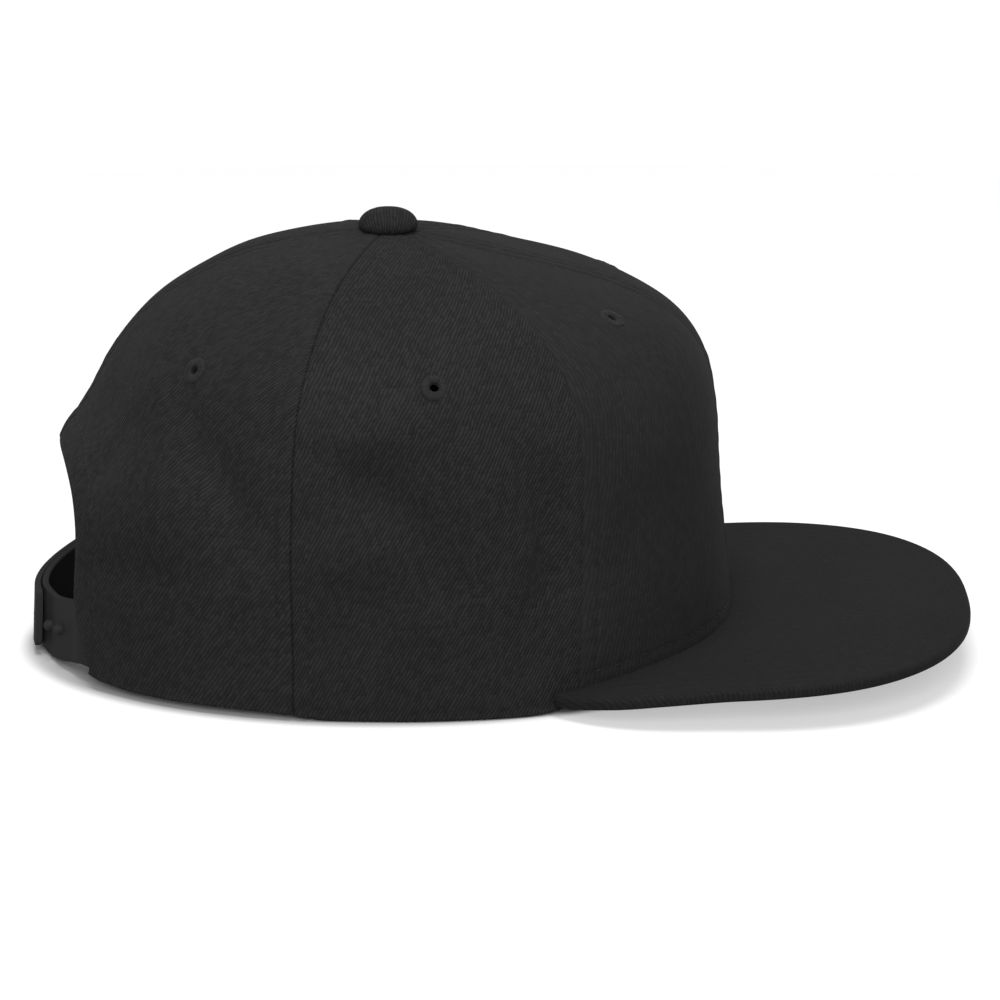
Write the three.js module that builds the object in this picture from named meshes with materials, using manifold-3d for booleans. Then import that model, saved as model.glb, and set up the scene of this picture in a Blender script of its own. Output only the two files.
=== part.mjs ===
// A snapback cap standing on its rim: six cloth gores, a flat-curved brim, a covered button, six sewn
// air holes, a band inside the rim and a two-part snap strap across the arch at the back.
// Millimetres, +X to the front (brim), +Y to the wearer's left, +Z up.
import * as THREE from 'three';
import { mergeVertices } from 'three/addons/utils/BufferGeometryUtils.js';
import Module from 'manifold-3d';

// Crown
const rimLength = 205;
const rimWidth = 155;
const crownHeight = 125;
const apexForward = 1.8;
const crownWall = 1.8;
const frontSquareness = 2.3;
const backSquareness = 2.05;
const foldDepth = 4;
const seamGap = 0.3;
const frontSeamAngle = 50.4;
const sideSeamAngle = 107.7;

// Arch over the strap
const archWidth = 79;
const archCrown = 22;
const archHeight = 63.4;
const archSquareness = 2.5;
const archFootSpread = 6.3;
const archFootHeight = 28;
const archFlare = 3.4;
const archFlareReach = 11.5;

// Air holes
const eyeletBore = 2.6;
const eyeletWidth = 7.7;
const eyeletThickness = 0.7;
const eyeletSleeve = 0.6;

// Button
const buttonWidth = 17.2;
const buttonHeight = 6.2;
const buttonPinWidth = 4.4;
const buttonPinDepth = 3;

// Brim
const brimWidth = 172;
const brimProjection = 70;
const brimThickness = 3.5;
const brimAngle = 55;
const brimHeight = 13;
const brimDrop = 1.5;
const brimSquareness = 2.45;
const brimWidest = 0.42;
const brimTailPull = 0.43;
const brimTailAngle = 41;
const brimCornerWidth = 2;

// Band inside the rim
const bandHeight = 30;
const bandThickness = 1.2;
const bandRise = 1;
const bandClearance = 0.6;
const bandStepAngle = 4;

// Snap strap
const strapHeight = 19;
const strapTipHeight = 17.5;
const studTipHeight = 18.8;
const strapThickness = 2;
const strapLift = 4.9;
const strapSag = 3.3;
const strapBow = 1.2;
const strapSpring = 1.6;
const strapSpringLength = 8;
const strapDrop = 1.8;
const strapTuck = 14;
const strapClear = 4;
const studPitch = 9.3;
const studWidth = 3.2;
const studCount = 7;
const holeCount = 7;
const holesShared = 5;
const lapShift = -9.65;
const strapEndMargin = 5;
const strapTongue = 3.3;
const strapEndRadius = 2;

// Clearance between pieces that touch on the real cap
const fit = 0.3;

// The crown from its rim to its top: lengths as shares of its height, half length and half width
const sections = [
  { height: 0.0, front: 1.004, back: 1.0, side: 1.0 },
  { height: 0.12, front: 0.995, back: 0.995, side: 1.012 },
  { height: 0.28, front: 0.973, back: 0.972, side: 1.03 },
  { height: 0.45, front: 0.95, back: 0.925, side: 1.04 },
  { height: 0.6, front: 0.937, back: 0.845, side: 1.025 },
  { height: 0.72, front: 0.898, back: 0.78, side: 0.965 },
  { height: 0.81, front: 0.805, back: 0.692, side: 0.865 },
  { height: 0.885, front: 0.62, back: 0.57, side: 0.72 },
  { height: 0.945, front: 0.345, back: 0.425, side: 0.52 },
  { height: 0.982, front: 0.15, back: 0.25, side: 0.29 },
  { height: 1.0, front: 0.0, back: 0.0, side: 0.0 },
];

// How far the cloth's lower edge behind the brim is off the surface it stands on, as a share of the
// crown height
const rimRise = [
  { around: 100, rise: 0.0 },
  { around: 110, rise: 0.012 },
  { around: 120, rise: 0.015 },
  { around: 140, rise: 0.016 },
  { around: 148, rise: 0.022 },
  { around: 154, rise: 0.034 },
  { around: 180, rise: 0.036 },
];

// Dents and bulges of the cloth: angle round from the front (left is positive), height and spread as
// shares of the crown height, depth as a share of the fold depth, and the fold's lean in degrees round
// over the lean height
const leanHeight = 0.2;
const folds = [
  { around: -160, height: 0.62, depth: -0.6, spreadAround: 9, spreadUp: 0.1, lean: 0 },
  { around: -128, height: 0.6, depth: -0.55, spreadAround: 5, spreadUp: 0.16, lean: -14 },
  { around: -143, height: 0.42, depth: 0.45, spreadAround: 10, spreadUp: 0.13, lean: 0 },
  { around: -92, height: 0.56, depth: -0.5, spreadAround: 9, spreadUp: 0.1, lean: 10 },
  { around: -98, height: 0.22, depth: -0.45, spreadAround: 8, spreadUp: 0.12, lean: 10 },
  { around: -70, height: 0.55, depth: 0.4, spreadAround: 6, spreadUp: 0.24, lean: -8 },
  { around: -55, height: 0.36, depth: -0.6, spreadAround: 5, spreadUp: 0.22, lean: 0 },
  { around: 60, height: 0.42, depth: -0.6, spreadAround: 6, spreadUp: 0.2, lean: 0 },
  { around: 84, height: 0.5, depth: 0.35, spreadAround: 8, spreadUp: 0.2, lean: 8 },
  { around: 97, height: 0.3, depth: -0.45, spreadAround: 7, spreadUp: 0.12, lean: -8 },
  { around: 130, height: 0.5, depth: -0.5, spreadAround: 6, spreadUp: 0.16, lean: 12 },
  { around: 148, height: 0.66, depth: -0.4, spreadAround: 8, spreadUp: 0.1, lean: 0 },
];

// Top of the brim above the floor along its length: forward as a share of the way from its rear
// corners to its tip, height as a share of the brim height
const brimProfile = [
  { forward: 0.0, height: 0.5 },
  { forward: 0.12, height: 0.64 },
  { forward: 0.25, height: 0.8 },
  { forward: 0.42, height: 0.93 },
  { forward: 0.65, height: 1.01 },
  { forward: 1.0, height: 1.07 },
];

const airHoles = [
  { name: 'eyelet_front', around: 28, height: 0.852 },
  { name: 'eyelet_side', around: 78.5, height: 0.765 },
  { name: 'eyelet_back', around: 136, height: 0.765 },
];

// Angle over which the cloth's edge comes down beside each rear corner of the brim
const cornerSpread = 5;

const aroundSteps = 12;
const upSteps = 16;

const degrees = Math.PI / 180;
const halfLength = rimLength / 2;
const halfWidth = rimWidth / 2;

const wasm = await Module();
wasm.setup();

// Smooth curve through the rows of a table, read at a place along its key column
function smoothRow(table, key, column, at) {
  const last = table.length - 1;
  if (at <= table[0][key]) return table[0][column];
  if (at >= table[last][key]) return table[last][column];
  let i = 0;
  while (table[i + 1][key] < at) i += 1;
  const slope = (k) => {
    if (k === 0 || k === last) return 0;
    const before = (table[k][column] - table[k - 1][column]) / (table[k][key] - table[k - 1][key]);
    const after = (table[k + 1][column] - table[k][column]) / (table[k + 1][key] - table[k][key]);
    return before * after > 0 ? (2 * before * after) / (before + after) : 0;
  };
  const span = table[i + 1][key] - table[i][key];
  const t = (at - table[i][key]) / span;
  const from = table[i][column];
  const to = table[i + 1][column];
  return (
    from * (1 + 2 * t) * (1 - t) ** 2 +
    to * t * t * (3 - 2 * t) +
    span * slope(i) * t * (1 - t) ** 2 -
    span * slope(i + 1) * t * t * (1 - t)
  );
}

// Share of the way up each section, by the length of the side outline
let outlineLength = 0;
const outline = sections.map((row, i) => {
  if (i > 0) {
    const rise = (row.height - sections[i - 1].height) * crownHeight;
    const reach = (row.side - sections[i - 1].side) * halfWidth;
    outlineLength += Math.hypot(rise, reach);
  }
  return { ...row, up: outlineLength };
});
for (const row of outline) row.up /= outlineLength;

// Catmull-Rom reading of the crown outline, which keeps its top round
function outlineAt(column, up) {
  const last = outline.length - 1;
  let i = 0;
  while (i < last - 1 && outline[i + 1].up < up) i += 1;
  const slope = (k) => {
    if (k === last) return column === 'height' ? 0 : -slopeToTop(column);
    const low = outline[Math.max(k - 1, 0)];
    const high = outline[Math.min(k + 1, last)];
    return (high[column] - low[column]) / (high.up - low.up);
  };
  const span = outline[i + 1].up - outline[i].up;
  const t = (up - outline[i].up) / span;
  return (
    outline[i][column] * (1 + 2 * t) * (1 - t) ** 2 +
    outline[i + 1][column] * t * t * (3 - 2 * t) +
    span * slope(i) * t * (1 - t) ** 2 -
    span * slope(i + 1) * t * t * (1 - t)
  );
}

function slopeToTop(column) {
  const below = outline[outline.length - 2];
  return below[column] / (1 - below.up);
}

// Share of the way up at which the outline reaches a height or narrows to a reach
function upWhere(column, value) {
  const rising = column === 'height';
  let low = 0;
  let high = 1;
  for (let step = 0; step < 30; step += 1) {
    const middle = (low + high) / 2;
    if (outlineAt(column, middle) < value === rising) low = middle;
    else high = middle;
  }
  return (low + high) / 2;
}

function smoothStep(value) {
  const t = Math.min(1, Math.max(0, value));
  return t * t * (3 - 2 * t);
}

// Lower edge of the cloth, in millimetres: it follows the underside of the brim, stands on its sides
// and rises to the arch
function footOfCloth(around) {
  const turn = Math.abs(around);
  if (turn > brimAngle + cornerSpread) {
    return smoothRow(rimRise, 'around', 'rise', turn) * crownHeight;
  }
  const face = crownPoint(around, brimSeamUp);
  const underBrim = brimTop(face.x, face.y) - brimThickness;
  return underBrim * smoothStep((brimAngle + cornerSpread - turn) / (3 * cornerSpread));
}

// The arch edge is upright at its sides, with a squarish round top and a spread foot
const archHalf = archWidth / 2;
const archRound = Math.min(archCrown, archHeight);
const archShoulder = archHeight - archRound;

// How far a point of the back lies outside the arch edge, for the lip's flare
function pastArch(y, z) {
  const above = Math.max(0, z - archShoulder) / archRound;
  if (above === 0) return Math.abs(y) - archHalf;
  const size = (Math.abs(y / archHalf) ** archSquareness + above ** archSquareness) ** (1 / archSquareness);
  return (size - 1) * archRound;
}

// Half width of the arch below its round top
function archFoot(z) {
  return archHalf + archFootSpread * smoothStep((archFootHeight - z) / archFootHeight);
}

// Outer face of the crown: angle round from the front, share of the way up from the floor
function crownPoint(around, up) {
  const a = around * degrees;
  const height = outlineAt('height', up);
  const front = Math.cos(a) > 0;
  const long = outlineAt(front ? 'front' : 'back', up) * halfLength;
  const wide = outlineAt('side', up) * halfWidth;
  const power = front ? frontSquareness : backSquareness;
  const sum = Math.abs(Math.cos(a) / long) ** power + Math.abs(Math.sin(a) / wide) ** power;
  let reach = sum ** (-1 / power);
  for (const fold of folds) {
    const rise = height - fold.height;
    const turn = around - fold.around - fold.lean * (rise / leanHeight);
    const away = (turn / fold.spreadAround) ** 2 + (rise / fold.spreadUp) ** 2;
    reach += foldDepth * fold.depth * Math.exp(-away);
  }
  const axis = apexForward * Math.min(1, Math.max(0, height));
  const y = reach * Math.sin(a);
  const z = height * crownHeight;
  if (!front) {
    const away = Math.max(0, pastArch(y, z));
    reach += archFlare * Math.exp(-((away / archFlareReach) ** 2)) * Math.min(1, z / archHeight) ** 2;
  }
  return new THREE.Vector3(axis + reach * Math.cos(a), reach * Math.sin(a), z);
}

// Where the brim meets the crown, as a share of the way up, and the brim's own end points
const brimSeamUp = 0.07;
const brimTipX = crownPoint(0, brimSeamUp).x + brimProjection;
const brimCorner = crownPoint(brimAngle, brimSeamUp / 2);

const nearTop = 0.999;

function crownNormal(around, up) {
  const top = Math.min(up, nearTop - 0.01);
  const round = crownPoint(around + 0.5, top).sub(crownPoint(around - 0.5, top));
  const rise = crownPoint(around, top + 0.005).sub(crownPoint(around, top - 0.005));
  return round.cross(rise).normalize();
}

// A point inside the crown's outer face by a depth, or outside it where the depth is below zero
function crownInside(around, up, depth) {
  return crownPoint(around, up).addScaledVector(crownNormal(around, up), -depth);
}

// Closed solid between two grids of points with the same counts, wound so that its faces point out
function slab(outer, inner) {
  const rows = outer.length;
  const columns = outer[0].length;
  const positions = [];
  for (const grid of [outer, inner]) {
    for (const row of grid) for (const p of row) positions.push(p.x, p.y, p.z);
  }
  const index = [];
  const at = (side, i, j) => side * rows * columns + i * columns + j;
  const quad = (a, b, c, d) => index.push(a, b, c, a, c, d);
  for (let i = 0; i < rows - 1; i += 1) {
    for (let j = 0; j < columns - 1; j += 1) {
      quad(at(0, i, j), at(0, i + 1, j), at(0, i + 1, j + 1), at(0, i, j + 1));
      quad(at(1, i, j), at(1, i, j + 1), at(1, i + 1, j + 1), at(1, i + 1, j));
    }
    quad(at(0, i, 0), at(1, i, 0), at(1, i + 1, 0), at(0, i + 1, 0));
    const top = columns - 1;
    quad(at(0, i, top), at(0, i + 1, top), at(1, i + 1, top), at(1, i, top));
  }
  for (let j = 0; j < columns - 1; j += 1) {
    quad(at(0, 0, j), at(0, 0, j + 1), at(1, 0, j + 1), at(1, 0, j));
    const end = rows - 1;
    quad(at(0, end, j), at(1, end, j), at(1, end, j + 1), at(0, end, j + 1));
  }
  const geometry = new THREE.BufferGeometry();
  geometry.setAttribute('position', new THREE.Float32BufferAttribute(positions, 3));
  geometry.setIndex(index);
  return geometry;
}

function toManifold(geometry) {
  const bare = geometry.clone();
  bare.deleteAttribute('normal');
  bare.deleteAttribute('uv');
  const merged = mergeVertices(bare, 1e-4);
  return new wasm.Manifold(
    new wasm.Mesh({
      numProp: 3,
      vertProperties: new Float32Array(merged.attributes.position.array),
      triVerts: new Uint32Array(merged.index.array),
    }),
  );
}

function toGeometry(solid) {
  const mesh = solid.getMesh();
  const geometry = new THREE.BufferGeometry();
  geometry.setAttribute('position', new THREE.BufferAttribute(new Float32Array(mesh.vertProperties), 3));
  geometry.setIndex(new THREE.BufferAttribute(new Uint32Array(mesh.triVerts), 1));
  return geometry;
}

// A round bar centred on a point, along a direction
function bar(width, length, point, direction, sides) {
  const geometry = new THREE.CylinderGeometry(width / 2, width / 2, length, sides);
  const turn = new THREE.Quaternion().setFromUnitVectors(new THREE.Vector3(0, 1, 0), direction);
  geometry.applyQuaternion(turn);
  geometry.translate(point.x, point.y, point.z);
  return toManifold(geometry);
}

// The block that cuts the arch out of the two back gores
function archCutter() {
  const footSteps = 6;
  const roundSteps = 9;
  const side = [new THREE.Vector2(archFoot(0), -archHeight)];
  for (let i = 0; i <= footSteps; i += 1) {
    const z = (archFootHeight * i) / footSteps;
    side.push(new THREE.Vector2(archFoot(z), z));
  }
  for (let i = 0; i <= roundSteps; i += 1) {
    const turn = (i / roundSteps) * 90 * degrees;
    const out = Math.cos(turn) ** (2 / archSquareness);
    const up = Math.sin(turn) ** (2 / archSquareness);
    side.push(new THREE.Vector2(archHalf * out, archShoulder + archRound * up));
  }
  const otherSide = side.slice(0, -1).map((p) => new THREE.Vector2(-p.x, p.y));
  const shape = new THREE.Shape([...side, ...otherSide.reverse()]);
  const geometry = new THREE.ExtrudeGeometry(shape, { depth: rimLength, bevelEnabled: false });
  geometry.rotateX(Math.PI / 2);
  geometry.rotateZ(-Math.PI / 2);
  geometry.translate(apexForward, 0, 0);
  return toManifold(geometry);
}

// Materials
function cloth(color, roughness) {
  return new THREE.MeshStandardMaterial({ color, roughness, metalness: 0 });
}
const twill = cloth(0x2b2b2b, 0.92);
const bandCloth = cloth(0x1e1e1e, 0.95);
const thread = cloth(0x262626, 0.85);
const plastic = cloth(0x2a2a2b, 0.45);

const cap = new THREE.Group();

function add(name, geometry, material) {
  const mesh = new THREE.Mesh(geometry, material);
  mesh.name = name;
  cap.add(mesh);
  return mesh;
}

const pinHole = buttonPinWidth / 2 + fit;

// Share of the way up at which the crown narrows to a radius about its top
function upAtRadius(around, radius) {
  let low = 0;
  let high = 1;
  for (let step = 0; step < 30; step += 1) {
    const middle = (low + high) / 2;
    const point = crownPoint(around, middle);
    if (Math.hypot(point.x - apexForward, point.y) > radius) low = middle;
    else high = middle;
  }
  return (low + high) / 2;
}

// One gore between two seams, from its lower edge to the hole under the button
function gore(from, to) {
  const outer = [];
  const inner = [];
  for (let i = 0; i <= aroundSteps; i += 1) {
    const outerRow = [];
    const innerRow = [];
    for (let j = 0; j <= upSteps; j += 1) {
      const middle = from + ((to - from) * i) / aroundSteps;
      const foot = upWhere('height', footOfCloth(middle) / crownHeight);
      const up = foot + ((upAtRadius(middle, pinHole) - foot) * j) / upSteps;
      const reach = crownPoint(middle, up);
      const radius = Math.max(pinHole, Math.hypot(reach.x - apexForward, reach.y));
      const trim = Math.asin(seamGap / 2 / radius) / degrees;
      const around = from + trim + ((to - from - 2 * trim) * i) / aroundSteps;
      const point = crownPoint(around, up);
      const behind = crownInside(around, up, crownWall);
      if (j === 0) {
        point.z = footOfCloth(middle);
        behind.z = point.z;
      }
      outerRow.push(point);
      innerRow.push(behind);
    }
    outer.push(outerRow);
    inner.push(innerRow);
  }
  return toManifold(slab(outer, inner));
}

const sides = [
  { side: 'left', sign: 1 },
  { side: 'right', sign: -1 },
];

// Where an air hole sits on a gore, and the way it faces
function airHoleSeat(hole, sign) {
  const up = upWhere('height', hole.height);
  return {
    point: crownPoint(hole.around * sign, up),
    normal: crownNormal(hole.around * sign, up),
  };
}

const sleeveWidth = eyeletBore + 2 * eyeletSleeve;

function crown() {
  const arch = archCutter();
  const gores = [
    { name: 'front_panel', from: 0, to: frontSeamAngle, hole: airHoles[0] },
    { name: 'side_panel', from: frontSeamAngle, to: sideSeamAngle, hole: airHoles[1] },
    { name: 'back_panel', from: sideSeamAngle, to: 180, hole: airHoles[2] },
  ];
  for (const { side, sign } of sides) {
    for (const { name, from, to, hole } of gores) {
      let solid = sign > 0 ? gore(from, to) : gore(-to, -from);
      const seat = airHoleSeat(hole, sign);
      solid = solid.subtract(
        bar(sleeveWidth + 2 * fit, crownWall * 6, seat.point, seat.normal, 12),
      );
      if (name === 'back_panel') solid = solid.subtract(arch);
      add(`${name}_${side}`, toGeometry(solid), twill);
    }
  }
}

// Sewn ring with a sleeve through the gore, turned about the normal of the cloth
function eyelets() {
  const rim = eyeletWidth / 2;
  const bore = eyeletBore / 2;
  const sleeve = sleeveWidth / 2;
  const low = fit + 0.1;
  const profile = [
    [bore, -crownWall],
    [sleeve, -crownWall],
    [sleeve, low],
    [rim, low],
    [rim, low + eyeletThickness * 0.4],
    [(rim + bore) / 2, low + eyeletThickness],
    [bore, low + eyeletThickness * 0.4],
    [bore, -crownWall],
  ].map(([r, z]) => new THREE.Vector2(r, z));
  for (const { side, sign } of sides) {
    for (const hole of airHoles) {
      const geometry = new THREE.LatheGeometry(profile, 12);
      const seat = airHoleSeat(hole, sign);
      const mesh = add(`${hole.name}_${side}`, geometry, thread);
      mesh.quaternion.setFromUnitVectors(new THREE.Vector3(0, 1, 0), seat.normal);
      mesh.position.copy(seat.point);
    }
  }
}

// Covered button with its pin through the crossing of the seams
function button() {
  const edge = buttonWidth / 2;
  const pin = buttonPinWidth / 2;
  const sag = crownHeight - crownPoint(180, upWhere('back', edge / halfLength)).z;
  const profile = [
    [0, -buttonPinDepth],
    [pin, -buttonPinDepth],
    [pin, fit],
    [edge * 0.9, fit - sag * 0.5],
    [edge, buttonHeight * 0.22],
    [edge * 0.93, buttonHeight * 0.55],
    [edge * 0.7, buttonHeight * 0.86],
    [edge * 0.36, buttonHeight * 0.98],
    [0, buttonHeight],
  ].map(([r, z]) => new THREE.Vector2(r, z));
  const geometry = new THREE.LatheGeometry(profile, 20);
  geometry.rotateX(Math.PI / 2);
  geometry.translate(apexForward, 0, crownHeight);
  add('top_button', geometry, twill);
}

function brimTop(x, y) {
  const forward = (x - brimCorner.x) / (brimTipX - brimCorner.x);
  const level = smoothRow(brimProfile, 'forward', 'height', forward) * brimHeight;
  const across = y / (brimWidth / 2);
  return level + brimDrop * (1 - across * across) * Math.min(1, Math.max(0, forward * 2));
}

// Outer edge of the brim: 0 at the tip, 1 at the rear corner, with its round part first
const roundShare = 0.68;
const tailTurn = brimTailAngle * degrees;

function brimEdge(share) {
  const wide = brimWidth / 2;
  const centreX = brimCorner.x + (brimTipX - brimCorner.x) * brimWidest;
  if (share <= roundShare) {
    const turn = (share / roundShare) * 90 * degrees;
    return {
      x: centreX + (brimTipX - centreX) * Math.cos(turn) ** (2 / brimSquareness),
      y: wide * Math.sin(turn) ** (2 / brimSquareness),
    };
  }
  const t = (share - roundShare) / (1 - roundShare);
  const start = new THREE.Vector2(centreX, wide);
  const corner = new THREE.Vector2(brimCorner.x, brimCorner.y + brimCornerWidth);
  const pull = (centreX - brimCorner.x) * brimTailPull;
  const leaving = new THREE.Vector2(pull * Math.cos(tailTurn), pull * Math.sin(tailTurn));
  const curve = new THREE.CubicBezierCurve(
    start,
    new THREE.Vector2(start.x - pull, start.y),
    corner.clone().add(leaving),
    corner,
  );
  return curve.getPoint(t);
}

// Stiff brim, from the crown's outer face to its own edge
function brim() {
  const across = 32;
  const outward = 6;
  const top = [];
  const under = [];
  for (let i = 0; i <= across; i += 1) {
    const share = (2 * i) / across - 1;
    const around = share * brimAngle;
    const rough = crownPoint(around, brimSeamUp);
    const level = (brimTop(rough.x, rough.y) - brimThickness / 2) / crownHeight;
    const up = upWhere('height', level);
    const inner = crownInside(around, up, -fit);
    const edge = brimEdge(Math.abs(share));
    const topRow = [];
    const underRow = [];
    for (let j = 0; j <= outward; j += 1) {
      const t = j / outward;
      const x = inner.x + (edge.x - inner.x) * t;
      const y = inner.y + (edge.y * Math.sign(share) - inner.y) * t;
      const z = brimTop(x, y);
      topRow.push(new THREE.Vector3(x, y, z));
      underRow.push(new THREE.Vector3(x, y, z - brimThickness));
    }
    top.push(topRow);
    under.push(underRow);
  }
  add('brim', slab(under, top), twill);
}

// Depth of the band's outer face inside the crown: deeper where the strap ends lie behind it
const strapFace = crownWall + fit;
const archEdgeAngle = angleAtY(archHalf);

// Angle round, on the back, at which the rim is a given width from the middle
function angleAtY(y) {
  let low = 90;
  let high = 180;
  for (let step = 0; step < 30; step += 1) {
    const middle = (low + high) / 2;
    if (crownPoint(middle, 0.05).y > y) low = middle;
    else high = middle;
  }
  return (low + high) / 2;
}

const strapEndAngle = angleAtY(archHalf + strapTuck);

function bandDepth(around) {
  const past = (Math.abs(around) - strapEndAngle) / bandStepAngle + 1.5;
  return crownWall + bandClearance + (strapThickness + fit) * smoothStep(past);
}

function band() {
  const steps = 48;
  const end = angleAtY(archFoot(0)) - 1;
  const outer = [];
  const inner = [];
  for (let i = 0; i <= steps; i += 1) {
    const around = -end + (2 * end * i) / steps;
    const low = footOfCloth(around) + bandRise;
    const outerRow = [];
    const innerRow = [];
    for (let j = 0; j <= 3; j += 1) {
      const z = low + (bandHeight * j) / 3;
      const up = upWhere('height', z / crownHeight);
      const face = crownInside(around, up, bandDepth(around));
      const back = crownInside(around, up, bandDepth(around) + bandThickness);
      face.z = z;
      back.z = z;
      outerRow.push(face);
      innerRow.push(back);
    }
    outer.push(outerRow);
    inner.push(innerRow);
  }
  add('sweatband', slab(outer, inner), bandCloth);
}

// Lengths along the rim at the back, from its middle: positive to the wearer's left
const strapMiddle = strapLift + strapHeight / 2;
const strapUp = upWhere('height', strapMiddle / crownHeight);
const walk = [];
{
  let length = 0;
  let previous = crownPoint(180, strapUp);
  for (let turn = 0; turn <= 90; turn += 1) {
    const point = crownPoint(180 - turn, strapUp);
    length += point.distanceTo(previous);
    previous = point;
    walk.push({ length, turn });
  }
}

function angleAtLength(length) {
  const along = Math.abs(length);
  let i = 0;
  while (i < walk.length - 2 && walk[i + 1].length < along) i += 1;
  const share = (along - walk[i].length) / (walk[i + 1].length - walk[i].length);
  return (180 - (walk[i].turn + share)) * (length < 0 ? -1 : 1);
}

function lengthAtAngle(around) {
  const turn = 180 - around;
  const i = Math.floor(turn);
  return walk[i].length + (walk[i + 1].length - walk[i].length) * (turn - i);
}

const archSideLength = lengthAtAngle(archEdgeAngle);
const tuckedLength = lengthAtAngle(strapEndAngle);
const firstShared = -lapShift - ((holesShared - 1) * studPitch) / 2;

// The half with the studs springs inward and hangs lower beside the other half's free end
function besideLap(length) {
  return smoothStep((firstShared - length) / strapSpringLength);
}

// Depth of each half's outer face inside the crown's outer face
function innerHalfDepth(length) {
  const fromArch = smoothStep((length + archSideLength) / strapSpringLength);
  return strapFace - bowAt(length) + strapSpring * besideLap(length) * fromArch;
}

function outerHalfDepth(length) {
  const lapEnd = firstShared + (holesShared - 1) * studPitch + strapEndMargin;
  const lifted = strapFace - bowAt(length) - strapThickness - fit;
  const past = (length - lapEnd) / (archSideLength - strapClear - lapEnd);
  return lifted + (strapFace - lifted) * smoothStep(past);
}

// The strap dips and narrows from the sides of the arch to the middle of the back
function strapShare(length) {
  return Math.min(1, (length / archSideLength) ** 2);
}

function bowAt(length) {
  return strapBow * (1 - strapShare(length));
}

function strapCentre(length) {
  return strapMiddle - strapSag * (1 - strapShare(length));
}

function strapPoint(length, depth, above = 0) {
  const around = angleAtLength(length);
  const z = strapCentre(length) + above;
  const point = crownInside(around, upWhere('height', z / crownHeight), depth);
  point.z = z;
  return point;
}

// Flat strip from one length to another, with its free end rounded at the corners
function strip(from, to, tipHeight, depthAt, dropAt) {
  const steps = 24;
  const free = Math.abs(from) < Math.abs(to) ? from : to;
  const outer = [];
  const inner = [];
  for (let i = 0; i <= steps; i += 1) {
    const share = 0.5 - 0.5 * Math.cos((Math.PI * i) / steps);
    const length = from + (to - from) * share;
    const near = Math.abs(length - free);
    const inset = Math.max(0, strapEndRadius - near);
    const cut = strapEndRadius - Math.sqrt(Math.max(0, strapEndRadius ** 2 - inset ** 2));
    const height = tipHeight + (strapHeight - tipHeight) * strapShare(length);
    const half = height / 2 - cut;
    const outerRow = [];
    const innerRow = [];
    for (const above of [-half - dropAt(length), half - dropAt(length)]) {
      outerRow.push(strapPoint(length, depthAt(length), above));
      innerRow.push(strapPoint(length, depthAt(length) + strapThickness, above));
    }
    outer.push(outerRow);
    inner.push(innerRow);
  }
  outer.reverse();
  inner.reverse();
  return toManifold(slab(outer, inner));
}

function strapNormal(length) {
  const normal = crownNormal(angleAtLength(length), strapUp);
  normal.z = 0;
  return normal.normalize();
}

// The two halves of the strap, closed with the studs in the holes
function strap() {
  const studAt = (n) => firstShared + (holesShared - 1 - n) * studPitch;
  const holeAt = (n) => firstShared + n * studPitch;

  const innerFree = studAt(0) + strapTongue;
  const studDrop = (length) => strapDrop * besideLap(length) * (1 - strapShare(length));
  let studs = strip(-tuckedLength, innerFree, studTipHeight, innerHalfDepth, studDrop);
  for (let n = 0; n < studCount; n += 1) {
    const length = studAt(n);
    const stand = strapThickness + fit;
    const middle = innerHalfDepth(length) + strapThickness / 2;
    const foot = strapPoint(length, middle, -studDrop(length));
    const normal = strapNormal(length);
    const reach = stand + strapThickness / 2;
    const centre = foot.clone().addScaledVector(normal, reach / 2);
    studs = studs.add(bar(studWidth, reach, centre, normal, 12));
  }
  add('strap_with_studs', toGeometry(studs), plastic);

  const outerFree = holeAt(0) - strapEndMargin;
  let holes = strip(outerFree, tuckedLength, strapTipHeight, outerHalfDepth, () => 0);
  for (let n = 0; n < holeCount; n += 1) {
    const length = holeAt(n);
    const centre = strapPoint(length, outerHalfDepth(length) + strapThickness / 2);
    holes = holes.subtract(
      bar(studWidth + 2 * fit, strapThickness * 5, centre, strapNormal(length), 12),
    );
  }
  add('strap_with_holes', toGeometry(holes), plastic);
}

crown();
eyelets();
button();
brim();
band();
strap();

// The origin goes under the middle of the whole cap, on the surface it stands on
const model = new THREE.Group();
model.add(cap);
model.updateMatrixWorld(true);
const whole = new THREE.Box3().setFromObject(cap, true);
cap.position.set(-(whole.min.x + whole.max.x) / 2, -(whole.min.y + whole.max.y) / 2, -whole.min.z);
model.updateMatrixWorld(true);

export default model;
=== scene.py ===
"""Looks of a snapback cap standing on its rim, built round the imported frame.

Shapes are worked out in millimetres in the crown's own frame, +X to the brim and +Y to the wearer's
left, and put into the frame's metres when a mesh is made.
"""

import math
from functools import partial

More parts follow.
